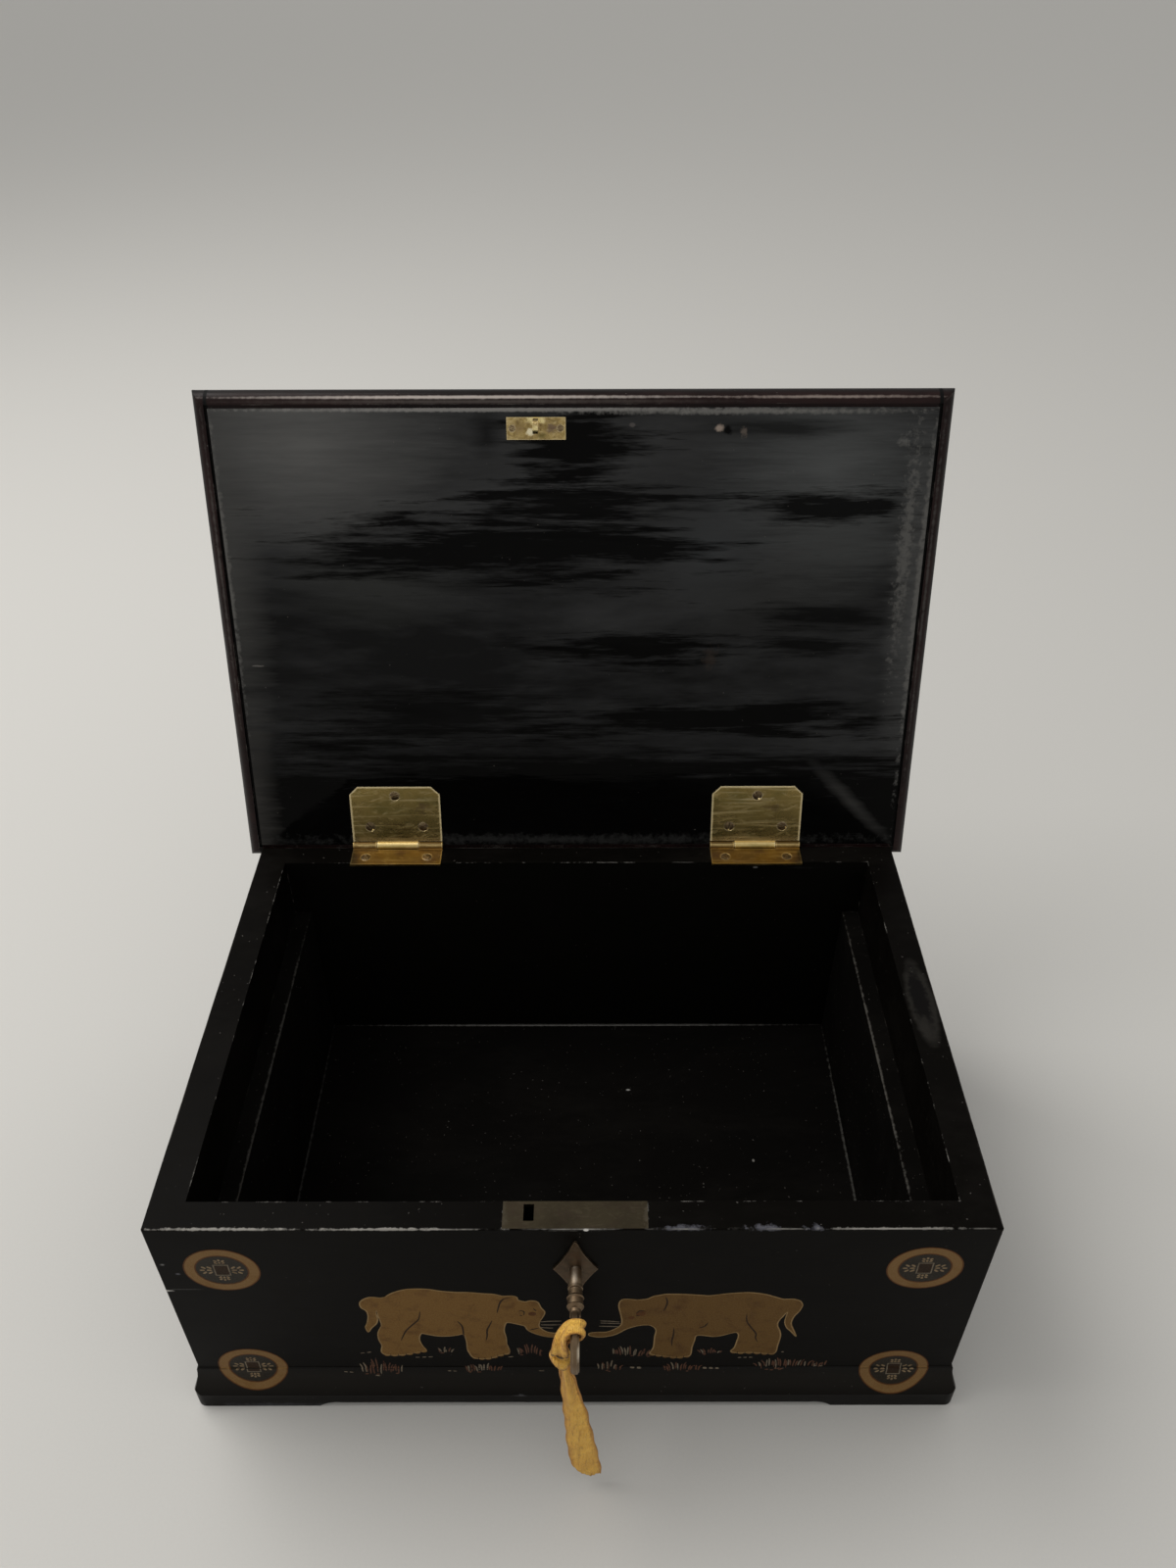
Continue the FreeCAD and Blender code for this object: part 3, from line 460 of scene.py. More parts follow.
LID_MARKS_AND_PAINTED_LIGHT = front_to_back([
    # lighter haze towards the top corners and along the sides: the lacquer's haze with painted
    # sheen
    (-112, 304, 66, 48, 0.4, 1.0, (0.122, 0.121, 0.117, 1), 0.85, 0.05),
    (108, 292, 54, 48, 0.5, 1.0, (0.095, 0.099, 0.099, 1), 0.8, 0.05),
    (-86, 246, 46, 20, 0.6, 1.0, (0.040, 0.041, 0.038, 1), 0.55, 0.05),
    (112, 262, 36, 30, 0.6, 1.0, (0.050, 0.052, 0.051, 1), 0.6, 0.05),
    (60, 262, 28, 32, 0.5, 1.0, (0.042, 0.045, 0.047, 1), 0.7, 0.05),
    (84, 240, 50, 22, 0.6, 1.0, (0.034, 0.034, 0.033, 1), 0.6, 0.05),
    (-148, 250, 16, 100, 0.6, 1.0, (0.060, 0.059, 0.056, 1), 0.75, 0.05),
    (148, 235, 13, 100, 0.7, 1.0, (0.085, 0.085, 0.083, 1), 0.75, 0.05),
    # ragged deep black patches; the widest band makes the lid darker towards the hinge
    (-28, 263, 96, 20, 1.7, 0.55, DEEP, 0.97, -0.2),
    (2, 279, 66, 13, 1.7, 0.55, DEEP, 0.95, -0.2),
    (2, 303, 31, 20, 1.5, 0.5, DEEP, 0.98, -0.2),
    (-36, 308, 8, 12, 0.8, 0.9, DEEP, 0.7, -0.2),
    (24, 217, 50, 9, 1.7, 0.55, DEEP, 0.96, -0.2),
    (64, 186, 80, 12, 1.7, 0.55, DEEP, 0.95, -0.2),
    (-66, 188, 60, 15, 1.6, 0.6, DEEP, 0.8, -0.2),
    (0, 141, 420, 39, 0.9, 0.45, DEEP, 0.97, -0.2),
    (104, 279, 42, 9, 1.7, 0.55, DEEP, 0.95, -0.2),
    (112, 232, 32, 7, 1.5, 0.7, DEEP, 0.85, -0.2),
    (106, 219, 30, 6, 1.5, 0.7, DEEP, 0.85, -0.2),
    (88, 310, 34, 5, 1.2, 0.8, DEEP, 0.75, -0.1),
    (-150, 150, 12, 60, 0.8, 1.0, (0.045, 0.043, 0.040, 1), 0.8, 0.05),
    (0, 127, 160, 3.2, 0.9, 0.9, (0.028, 0.028, 0.027, 1), 0.7, 0.05),
    (128.5, 146, 6, 21, 0.6, 0.9, SMEAR, 0.85, 0.1, -0.97),
    (-149.6, 255, 1.5, 72, 0.9, 0.8, DUST, 0.85, 0.1),
    (149.3, 240, 1.8, 86, 0.9, 0.8, DUST, 0.9, 0.1),
    (142, 262, 3.5, 52, 1.3, 0.9, DUST, 0.7, 0.1),
    # pale lines along the panel's top edge: dust and a painted highlight
    (-30, 317.4, 122, 1.1, 0.4, 0.6, (0.23, 0.22, 0.21, 1), 0.95, 0.1),
    (70, 316.6, 82, 1.5, 0.6, 0.8, (0.16, 0.155, 0.145, 1), 0.9, 0.1),
    # a painted glint near the top right corner
    (137, 305, 3.4, 3, 1.2, 0.9, (0.20, 0.195, 0.18, 1), 0.35, 0.1),
    (60.5, 310, 2.2, 1.7, 0.5, 0.5, (0.30, 0.24, 0.20, 1), 0.95, 0.2),
    (63.6, 309.4, 2.2, 2.2, 0.5, 0.5, DEEP, 0.95, 0.0),
    (70.5, 308.6, 1.7, 2.6, 0.8, 0.6, (0.11, 0.09, 0.075, 1), 0.85, 0.1),
    (24.2, 311.4, 1.3, 1.0, 0.5, 0.5, (0.10, 0.09, 0.085, 1), 0.7, 0.1),
    (60, 214, 4.0, 6.5, 0.9, 0.8, (0.040, 0.030, 0.024, 1), 0.5, 0.1),
    (-142.0, 211, 3.2, 0.5, 0.6, 0.5, (0.14, 0.13, 0.12, 1), 0.8, 0.1)])
# a near black for the painted shade on the outer roll of the lid's moulding
ROLL = (0.0026, 0.0016, 0.0015, 1)
# painted light on the lid's moulding: painted shade on the outer roll, a grey band and a painted
# highlight along the bead, painted highlights on the side beads, and painted shade in the quirks
TRIM_PAINTED_LIGHT = [
    ((0, 0, 325.0), (ANY, ANY, 2.4), 0.0, 0.4, ROLL, 0.97, 0.1),
    ((-157, 0, 0), (2.6, ANY, ANY), 0.0, 0.5, ROLL, 0.9, 0.1),
    ((157, 0, 0), (2.6, ANY, ANY), 0.0, 0.5, ROLL, 0.9, 0.1),
    ((-40, 0, 320.3), (115, ANY, 1.0), 0.3, 0.8, (0.070, 0.058, 0.052, 1), 0.8, 0.0),
    ((-44, 0, 321.8), (116, ANY, 0.65), 0.2, 0.7, (0.42, 0.37, 0.34, 1), 1.0, 0.0),
    ((104, 0, 321.7), (58, ANY, 0.6), 0.4, 0.8, (0.22, 0.18, 0.16, 1), 0.95, 0.0),
    ((-152.9, 0, 250), (0.8, ANY, 80), 0.7, 0.9, (0.06, 0.052, 0.048, 1), 0.85, 0.0),
    ((152.9, 0, 240), (0.8, ANY, 90), 0.8, 0.9, (0.06, 0.054, 0.05, 1), 0.85, 0.0),
    ((-150.7, 0, 0), (0.9, ANY, ANY), 0.0, 0.3, DEEP, 1.0, 0.3),
    ((150.7, 0, 0), (0.9, ANY, ANY), 0.0, 0.3, DEEP, 1.0, 0.3)]
WORN_BASE = (0.03, 0.028, 0.026, 1)
WORN_INSIDE = (0.05, 0.046, 0.04, 1)
WORN_LID = (0.10, 0.09, 0.08, 1)
case_lacquer = lacquer("case_lacquer", grey(0.0024, 1.2), grey(0.0048, 1.16), PLAIN_SHINE,
                       (0.5, 26.0, 0.5, 0.72), 0.5, PALE_WEAR_AND_HIGHLIGHT, 0.77, 0.026, 0.55, CASE_MARKS_AND_HIGHLIGHT)
base_lacquer = lacquer("base_lacquer", grey(0.0034, 1.18), grey(0.0060, 1.14), (0.32, 0.44),
                       (0.5, 26.0, 0.5, 0.72), 0.3, WORN_BASE, 0.77, 0.045, None, BASE_MARKS_AND_PAINTED_LIGHT)
lid_lacquer = lacquer("lid_lacquer", grey(0.0085, 1.0), grey(0.040, 0.99), (0.16, 0.34),
                      (0.2, 21.0, 0.38, 0.74), 0.3, WORN_LID, 0.80, 0.05, None, LID_MARKS_AND_PAINTED_LIGHT,
                      upper_face=(grey(0.0030, 1.18), grey(0.0056, 1.14)))
inner_lacquer = lacquer("inner_lacquer", grey(0.0042, 1.1), grey(0.0062, 1.1), (0.66, 0.72),
                        (0.4, 30.0, 0.5, 0.7), 0.5, WORN_INSIDE, 0.76, 0.0, 0.5, INNER_MARKS)
trim_lacquer = lacquer("trim_lacquer", (0.0085, 0.0042, 0.0039, 1), (0.018, 0.008, 0.0074, 1),
                       (0.22, 0.36), (0.4, 34.0, 0.46, 0.66), 0.5, WORN_LID, 0.77, 0.12, None,
                       TRIM_PAINTED_LIGHT)
print("lacquers made")

# %% [markdown]
# ## Brass, bronze and steel
#
# The hinges are sheet brass, drawn and rubbed along their length, with olive tarnish in patches and
# fine scratches in every direction, and painted highlights along their clipped edges and knuckles,
# with painted shade on the knuckles of the rim leaves. The keeper is paler and pitted. The lock
# plate and the escutcheon have gone brown, and the key is a grey brown casting, worn bright on its
# rings, with painted highlights and shade on its barrel and bow. All are one function of clean
# colour, tarnish colour and how much of each.

# %% Metal finishes
PIT = (0.06, 0.045, 0.02, 1)


def metal(name, clean, dull, tint, bright, size, smooth, rough_dull, lines, line_length,
          line_share=0.3, wear=0.9, marks=(), radius=1.1, rarity=0.80, depth=0.02 * MM, rims=()):
    """Old metal, with dull and tinted stains of that size, and bright on its edges and scratches.

    Each mark is its (middle mm, reach mm, ragged, soft, colour, share, lean), and each rim is the
    (middle mm, reach mm, lean) of a painted highlight along an edge.
    """
    material, tree, place, shader = start_material(name, Metallic=1.0)
    aside = stretched(tree, place, (0.7, 1.3, 1.3), (1, 2, 3))
    stain = use_group(tree, tarnish, place, Size=size, Amount=0.8)["Mask"]
    other = use_group(tree, tarnish, aside, Size=size * 1.7, Amount=0.62)["Mask"]
    line = use_group(tree, scratches, place, Length=line_length, Size=lines)["Mask"]
    edge = use_group(tree, worn, place, Radius=radius * MM, Patchiness=220.0, Amount=wear)["Mask"]
    pits = use_group(tree, specks, place, Size=1500.0, Rarity=rarity)["Mask"]
    colour = mix_colour(tree, stain, clean, dull)
    colour = tinted(tree, colour, other, 0.75, tint)
    colour = tinted(tree, colour, line, line_share, bright)
    edges = torn_edges(tree, place) if marks else None
    for middle, reach, ragged, soft, shade, share, *lean in marks:
        here = marked(tree, place, edges, middle, reach, ragged, soft, *lean)
        colour = tinted(tree, colour, here, share, shade)
    highlit = 0.0
    # painted highlights along the rims: pale, and less metallic
    for middle, reach, *lean in rims:
        here = marked(tree, place, edges, middle, reach, 0.25, 0.6, *lean)
        colour = mix_colour(tree, here, colour, PALE_HIGHLIGHT_GOLD)
        highlit = maths(tree, "MAXIMUM", here, highlit)
    if rims:
        put(tree, maths(tree, "MULTIPLY_ADD", highlit, -0.8, 1.0), shader.inputs["Metallic"])
    colour = tinted(tree, colour, edge, 0.85, bright)
    put(tree, tinted(tree, colour, pits, 0.6, PIT), shader.inputs["Base Color"])
    rough = rescale(tree, stain, 0.0, 1.0, smooth, rough_dull)
    put(tree, maths(tree, "MULTIPLY_ADD", line, 0.12, rough), shader.inputs["Roughness"])
    bump(tree, shader, maths(tree, "MULTIPLY_ADD", line, -0.5, times(tree, pits, -1.0)), depth)
    return material


# %% Marks in the metal, and the nine metals
HINGES = (-85, 85)
PALE_GOLD = (0.98, 0.82, 0.50, 1)
# the colour of the painted highlights along the leaves' clipped edges
PALE_HIGHLIGHT_GOLD = (0.66, 0.53, 0.27, 1)
# painted highlights along the top, the sides and the slanted edges of the lid leaves
LEAF_EDGE_HIGHLIGHTS = [((0, 0, 153.3), (ANY, ANY, 0.65))]
LEAF_EDGE_HIGHLIGHTS += [((x, 0, 140), (0.6, ANY, ANY)) for x in (-105.8, -64.2, 64.2, 105.8)]
LEAF_EDGE_HIGHLIGHTS += [((x + s * 18.9, 0, 151.6), (0.95, ANY, 2.4), -s * 1.02)
              for x in HINGES for s in (-1, 1)]
# painted shade along the top of the rim leaves' knuckles, then stains on the rim leaves
LEAF_STAINS_AND_SHADE = [((0, 100.4, 126.1), (ANY, 1.7, 1.3), 0.15, 0.35, (0.085, 0.045, 0.012, 1), 0.92)]
LEAF_STAINS_AND_SHADE += [((x + s, y, 123), (r, 4, 3), 1.0, 0.9, (0.15, 0.085, 0.060, 1), 0.6)
                for x in HINGES for s, y, r in ((-18, 93, 5), (17, 91, 6), (2, 96, 4))]
LEAF_WORMS = [((x, 0, z), (r, ANY, 0.5), 1.1, 0.8, (0.19, 0.115, 0.035, 1), 0.6, 0.0)
              for x, z, r in ((-85, 134.5, 9), (-83, 132.3, 11), (-86, 130.2, 10), (-84, 128.3, 8),
                              (88, 146.5, 5), (84, 131, 7))]
LEAF_WORMS += [((84, 0, 147.4), (8, ANY, 0.45), 0.5, 0.5, (0.95, 0.80, 0.45, 1), 0.6, 8.0),
               ((85, 0, 140), (15, ANY, 7), 1.0, 0.9, (0.36, 0.27, 0.09, 1), 0.55),
               ((-80, 0, 141), (10, ANY, 5), 1.0, 0.9, (0.38, 0.30, 0.10, 1), 0.45),
               ((-72, 0, 143), (4, ANY, 3.2), 1.0, 0.8, (0.20, 0.125, 0.075, 1), 0.6),
               ((93, 0, 143), (6, ANY, 2.6), 1.0, 0.8, (0.19, 0.12, 0.06, 1), 0.55)]
# painted highlights: along the knuckles, and along the heel of the lid leaves
KNUCKLE_HIGHLIGHT = ((0, 100.5, 124.6), (ANY, 1.9, 2.6), 0.2, 0.4, (0.86, 0.66, 0.30, 1), 0.85)
HEEL_HIGHLIGHT = ((0, 99.6, 127.4), (ANY, ANY, 1.0), 0.3, 0.6, (0.80, 0.60, 0.26, 1), 0.8)
hinge_brass = metal("hinge_brass", (0.64, 0.46, 0.155, 1), (0.28, 0.205, 0.062, 1),
                    (0.16, 0.155, 0.042, 1), PALE_GOLD, 55.0, 0.26, 0.42, 600.0, 0.05, 0.3, 1.25,
                    [KNUCKLE_HIGHLIGHT, HEEL_HIGHLIGHT] + LEAF_WORMS, rims=LEAF_EDGE_HIGHLIGHTS)
rim_brass = metal("rim_brass", (0.31, 0.205, 0.070, 1), (0.17, 0.10, 0.038, 1),
                  (0.26, 0.145, 0.035, 1), (0.90, 0.66, 0.28, 1), 90.0, 0.28, 0.46, 700.0, 0.05,
                  0.2, 1.1, [KNUCKLE_HIGHLIGHT] + LEAF_STAINS_AND_SHADE)
knuckle_brass = metal("knuckle_brass", (0.66, 0.48, 0.17, 1), (0.42, 0.29, 0.09, 1),
                      (0.34, 0.22, 0.06, 1), PALE_GOLD, 150.0, 0.22, 0.36, 900.0, 0.05, 0.3, 1.0)
KEEPER_MARKS = front_to_back([
    (-15.5, 313.4, 4.5, 1.8, 0.8, 0.6, (1.0, 0.85, 0.42, 1), 0.9),
    (-17.8, 309.0, 2.0, 1.6, 1.0, 0.6, (1.0, 0.90, 0.62, 1), 0.9),
    (-9.0, 310.4, 3.2, 2.4, 0.9, 0.7, (0.16, 0.105, 0.08, 1), 0.8),
    (-13.0, 307.4, 2.4, 1.6, 0.8, 0.7, (0.14, 0.11, 0.03, 1), 0.7),
    (-23.0, 310.6, 3.6, 2.6, 1.0, 0.8, (0.26, 0.17, 0.09, 1), 0.6)])
keeper_brass = metal("keeper_brass", (0.52, 0.38, 0.15, 1), (0.25, 0.175, 0.06, 1),
                     (0.18, 0.105, 0.065, 1), (0.98, 0.80, 0.45, 1), 420.0, 0.26, 0.5, 500.0, 0.5,
                     0.45, 1.3, KEEPER_MARKS, 0.6)
LOCK_MARKS = [((26.5, -94, 123), (1.6, 9, 3), 1.2, 0.8, (0.15, 0.13, 0.10, 1), 0.25),
              ((-24, -93, 123), (1.2, 9, 3), 1.2, 0.8, (0.10, 0.09, 0.07, 1), 0.2)]
lock_bronze = metal("lock_bronze", (0.046, 0.037, 0.023, 1), (0.031, 0.025, 0.016, 1),
                    (0.040, 0.027, 0.021, 1), (0.10, 0.085, 0.055, 1), 70.0, 0.42, 0.55, 900.0,
                    0.25, 0.2, 0.4, LOCK_MARKS, 0.6)
plate_bronze = metal("plate_bronze", (0.115, 0.080, 0.048, 1), (0.062, 0.043, 0.027, 1),
                     (0.120, 0.058, 0.032, 1), (0.26, 0.20, 0.13, 1), 160.0, 0.40, 0.52, 900.0, 0.6,
                     0.2, 0.75, (), 0.6)
# painted light on the key: pale painted highlights on the barrel and on the right of the bow, a
# lighter barrel, and painted shade on the left of the bow
PALE_KEY_HIGHLIGHT = (0.72, 0.62, 0.50, 1)
KEY_LIGHT_AND_SHADE = [((5, -127, 96), (3.5, 6, 15), 0.2, 0.5, PALE_KEY_HIGHLIGHT, 0.6),
             ((1, -106, 98), (9, 5, 9), 0.4, 0.7, (0.30, 0.215, 0.135, 1), 0.8),
             ((0.7, -103.6, 101), (1.5, 5.5, 2.4), 0.3, 0.7, PALE_KEY_HIGHLIGHT, 0.8),
             ((-0.8, -131, 98), (1.5, 8, 12), 0.3, 0.6, (0.20, 0.115, 0.05, 1), 0.85),
             ((2.6, -133, 104), (1.3, 4, 4), 0.3, 0.7, (0.95, 0.86, 0.70, 1), 0.95)]
key_bronze = metal("key_bronze", (0.20, 0.140, 0.085, 1), (0.115, 0.078, 0.046, 1),
                   (0.14, 0.080, 0.040, 1), (0.46, 0.36, 0.24, 1), 90.0, 0.50, 0.60, 700.0, 0.5,
                   0.10, 0.7, KEY_LIGHT_AND_SHADE, 0.45, 0.86, 0.006 * MM)
worked_steel = metal("worked_steel", (0.30, 0.29, 0.27, 1), (0.14, 0.12, 0.10, 1),
                     (0.16, 0.10, 0.06, 1), (0.6, 0.58, 0.55, 1), 120.0, 0.3, 0.5, 1000.0, 0.1)
screw_brass = metal("screw_brass", (0.20, 0.14, 0.070, 1), (0.085, 0.055, 0.032, 1),
                    (0.12, 0.070, 0.045, 1), (0.90, 0.72, 0.44, 1), 260.0, 0.34, 0.5, 1400.0, 0.3,
                    0.15, 0.75, (), 0.3)
print("metals made")

# %% Give each CAD piece its finish
FINISH = {
    case_lacquer: "front_board back_board side_board_left side_board_right",
    inner_lacquer: "bottom_board tray_ledge_left tray_ledge_right",
    base_lacquer: "base_moulding_front base_moulding_back base_moulding_left base_moulding_right",
    trim_lacquer: "lid_moulding_front lid_moulding_back lid_moulding_left lid_moulding_right",
    lid_lacquer: "lid_panel",
    hinge_brass: "hinge_lid_leaf_left hinge_lid_leaf_right",
    rim_brass: "hinge_rim_leaf_left hinge_rim_leaf_right",
    knuckle_brass: "hinge_pin_left hinge_pin_right",
    screw_brass: "rim_hinge_screws lid_hinge_screws keeper_screws lock_screws",
    keeper_brass: "keeper_plate keeper_link",
    lock_bronze: "lock_plate lock_case",
    plate_bronze: "escutcheon",
    worked_steel: "drill_pin bolt_studs bolt_spring lock_bolt",
    key_bronze: "key",
}


def finish_with(obj, material):
    """The whole object in one material."""
    obj.data.materials.clear()
    obj.data.materials.append(material)


for material, names in FINISH.items():
    for name in names.split():
        finish_with(NODES[name], material)
left_over = [name for name in NODES if name not in " ".join(FINISH.values()).split()]
print("still without a finish:", left_over)

# %% [markdown]
# ## Slotted screws
#
# Sixteen countersunk screws hold the hinges, the keeper and the lock. Each head is a flat cone with
# a straight slot. One screw is modelled: a cone, a softened rim, a strip of its top pressed down
# for the slot, and a shank drawn out below to a point. It is copied to every hole, with the slot
# turned another way each time, as screws end up in a real hinge.

# %% Model one screw
HEAD_R, HEAD_H, RIM_SOFT = 2.33, 1.2, 0.16
SLOT_HALF, SLOT_DEEP = 0.34, 0.6
SHANK, POINT = 4.6, 2.0


def pick_faces(obj, wanted):
    """Selects the faces for which wanted(middle in mm, normal) is true."""
    form = bmesh.from_edit_mesh(obj.data)
    for face in form.faces:
        face.select_set(wanted(face.calc_center_median() / MM, face.normal))
    form.select_flush_mode()
    bmesh.update_edit_mesh(obj.data)


def draw_out(x=0.0, y=0.0, z=0.0):
    """Extrudes the selected faces by so many millimetres."""
    bpy.ops.mesh.extrude_region_move(TRANSFORM_OT_translate={"value": (x * MM, y * MM, z * MM)})


def face_outwards():
    """Turns every face of the edited piece outwards and leaves Edit mode."""
    bpy.ops.mesh.select_all(action="SELECT")
    bpy.ops.mesh.normals_make_consistent(inside=False)
    bpy.ops.object.mode_set(mode="OBJECT")


bpy.ops.object.select_all(action="DESELECT")
bpy.ops.mesh.primitive_cone_add(vertices=32, radius1=HEAD_R * 0.55 * MM, radius2=HEAD_R * MM,
                                depth=HEAD_H * MM, location=(0, 0, -HEAD_H / 2 * MM))
screw = bpy.context.object
bpy.ops.object.transform_apply(location=True, rotation=False, scale=False)
bpy.ops.object.mode_set(mode="EDIT")
bpy.ops.mesh.select_mode(type="FACE")
pick_faces(screw, lambda middle, normal: normal.z > 0.9)
bpy.ops.mesh.bevel(offset=RIM_SOFT * MM, segments=2, affect="EDGES")
for side in (-1, 1):
    pick_faces(screw, lambda middle, normal: normal.z > 0.99)
    bpy.ops.mesh.bisect(plane_co=(side * SLOT_HALF * MM, 0, 0), plane_no=(1, 0, 0))
pick_faces(screw, lambda middle, normal: normal.z > 0.99 and abs(middle.x) < SLOT_HALF)
draw_out(z=-SLOT_DEEP)
pick_faces(screw, lambda middle, normal: normal.z < -0.9)
draw_out(z=-SHANK)
draw_out(z=-POINT)
bpy.ops.transform.resize(value=(0.15, 0.15, 1))
face_outwards()
bpy.ops.object.shade_smooth_by_angle(angle=math.radians(32))
print("screw:", len(screw.data.polygons), "faces", [round(v / MM, 2) for v in screw.dimensions])

# %% Drive the screws
opened = (Matrix.Translation(HINGE_AXIS) @ Matrix.Rotation(-LID_OPEN, 4, "X")
          @ Matrix.Translation(-HINGE_AXIS))
up, down = Matrix.Identity(4), Matrix.Rotation(math.pi, 4, "X")
inward = Matrix.Rotation(-math.pi / 2, 4, "X")
KEEPER_X, LOCK_X = -15.35, 1.0
SCREWS = {
    "rim_hinge_screws": ("case", Matrix.Identity(4), up, 1.0,
                         [(x + s, 92.85, 123.22) for x in HINGES for s in (-14.5, 14.5)]),
    "lid_hinge_screws": ("lid", opened, down, 1.0,
                         [(x + s, y, 123.58) for x in HINGES
                          for s, y in ((-12.5, 90.5), (12.5, 90.5), (0, 74.5))]),
    "keeper_screws": ("lid", opened, down, 0.62,
                      [(KEEPER_X + s, -91.9, 123.62) for s in (-10, 10)]),
    "lock_screws": ("case", Matrix.Identity(4), inward, 0.70,
                    [(LOCK_X + s, -89.03, z) for s in (-23.45, 23.45) for z in (91, 117)])}
turns = random.Random(5)
for node, (body, swing, facing, size, spots) in SCREWS.items():
    bpy.ops.object.select_all(action="DESELECT")
    for spot in spots:
        copy = bpy.data.objects.new(f"slotted_{node}", screw.data.copy())
        bpy.context.scene.collection.objects.link(copy)
        turned = Matrix.Rotation(turns.uniform(-1.4, 1.4), 4, "Z")
        copy.matrix_world = (swing @ Matrix.Translation(Vector(spot) * MM) @ facing @ turned
                             @ Matrix.Scale(size, 4))
        copy.select_set(True)
        bpy.context.view_layer.objects.active = copy
    bpy.ops.object.join()
    bpy.ops.object.transform_apply(location=True, rotation=True, scale=True)
    group = bpy.context.object
    finish_with(group, screw_brass)
    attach(group, body)
    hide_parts(node)
    print(node, "replaced by", len(spots), "slotted screws")
bpy.data.objects.remove(screw)

# %% [markdown]
# ## The turned part of the key
#
# Between the escutcheon and the bow the key is turned: a plain barrel, a small bead, then two thin
# rings standing on a thicker middle, and a neck. The CAD key gives the rings, and a sleeve over it
# gives the fuller barrel and middle. It starts as a disc that is drawn out and resized step by
# step, the way a lathe's profile is read off.

# %% Turn the sleeve
KEY_Z = 98.5
# place along the key, and radius, in mm
SLEEVE = [(-101.7, 2.15), (-101.9, 2.25), (-106.7, 2.25), (-107.0, 2.1), (-108.6, 2.1),
          (-108.8, 2.45), (-110.9, 2.5), (-111.3, 2.75), (-115.1, 2.75), (-115.5, 2.3),
          (-115.8, 2.05), (-118.4, 1.95), (-118.7, 1.7)]
bpy.ops.object.select_all(action="DESELECT")
bpy.ops.mesh.primitive_circle_add(vertices=40, radius=SLEEVE[0][1] * MM, fill_type="NGON",
                                  location=(LOCK_X * MM, SLEEVE[0][0] * MM, KEY_Z * MM),
                                  rotation=(math.pi / 2, 0, 0))
sleeve = bpy.context.object
sleeve.name = "key_turned_barrel"
bpy.ops.object.transform_apply(location=True, rotation=True, scale=True)
bpy.ops.object.mode_set(mode="EDIT")
bpy.ops.mesh.select_all(action="SELECT")
for (y0, r0), (y1, r1) in zip(SLEEVE, SLEEVE[1:]):
    draw_out(y=y1 - y0)
    bpy.ops.transform.resize(value=(r1 / r0, 1, r1 / r0))
face_outwards()
bpy.ops.object.shade_smooth_by_angle(angle=math.radians(30))
finish_with(sleeve, key_bronze)
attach(sleeve, "key")
print("sleeve:", len(sleeve.data.polygons), "faces", [round(v / MM, 2) for v in sleeve.dimensions])

# %% [markdown]
# ## The ribbon's tail
#
# A strip of soft ochre cloth is tied to the key's bow and hangs free. It is cut 11 mm wide. Near
# the knot it is gathered into folds, and it opens out towards its slanted, frayed cut. It follows a
# NURBS line through the same points as the CAD solid. Rings of points are set along that line: each
# ring is a wave as long as the cloth is wide, deep at the knot and almost flat at the end. Solidify
# gives it its thickness.

# %% Read points from a NURBS line
TAIL_ROUTE = [(-3.3, -126.6, 82.4), (-2.2, -127.0, 72.4), (-1.1, -127.7, 62.4), (1.0, -129.2, 43.2),
              (4.0, -131.8, 15.5), (5.1, -132.8, 5.5)]


def smooth_line(points, resolution=12):
    """Points along the NURBS line that has these control points, in metres."""
    curve = bpy.data.curves.new("guide", "CURVE")
    curve.dimensions = "3D"
    curve.resolution_u = resolution
    spline = curve.splines.new("NURBS")
    spline.points.add(len(points) - 1)
    for knot, place in zip(spline.points, points):
        knot.co = (*[v * MM for v in place], 1.0)
    spline.order_u = 3
    spline.use_endpoint_u = True
    guide = bpy.data.objects.new("guide", curve)
    line = bpy.data.meshes.new_from_object(guide)
    places = [v.co.copy() for v in line.vertices]
    bpy.data.objects.remove(guide)
    bpy.data.meshes.remove(line)
    return places


def between(table, share):
    """The values of a table of (share, values...) at share, eased from row to row."""
    for low, high in zip(table, table[1:]):
        if share <= high[0]:
            t = (share - low[0]) / (high[0] - low[0])
            t = t * t * (3 - 2 * t)
            return [a + (b - a) * t for a, b in zip(low[1:], high[1:])]
    return list(table[-1][1:])


def shares_of(line):
    """How far along the line each point is, from 0 to 1, and the line's length."""
    run = [0.0]
    for a, b in zip(line, line[1:]):
        run.append(run[-1] + (b - a).length)
    return [r / run[-1] for r in run], run[-1]


tail_line = smooth_line(TAIL_ROUTE, 16)

# %% Shape the tail
# share along the tail, half width, fold depth, number of folds, sideways shift, all in mm
TAIL_FOLDS = [(0.0, 2.0, 1.15, 1.45, 0.0), (0.10, 2.3, 1.2, 1.4, 0.1), (0.26, 3.2, 1.1, 1.15, -0.1),
              (0.5, 4.5, 0.85, 0.95, 0.2), (0.75, 5.4, 0.55, 0.8, 0.0), (0.92, 5.6, 0.35, 0.8, 0.1),
              (1.0, 5.3, 0.3, 0.9, 0.0)]
ACROSS = 22
CLOTH_WIDTH = 0.011


def add_object(name, data):
    """A new piece in the scene, active and the only one that is selected."""
    piece = bpy.data.objects.new(name, data)
    bpy.context.scene.collection.objects.link(piece)
    bpy.ops.object.select_all(action="DESELECT")
    bpy.context.view_layer.objects.active = piece
    piece.select_set(True)
    return piece


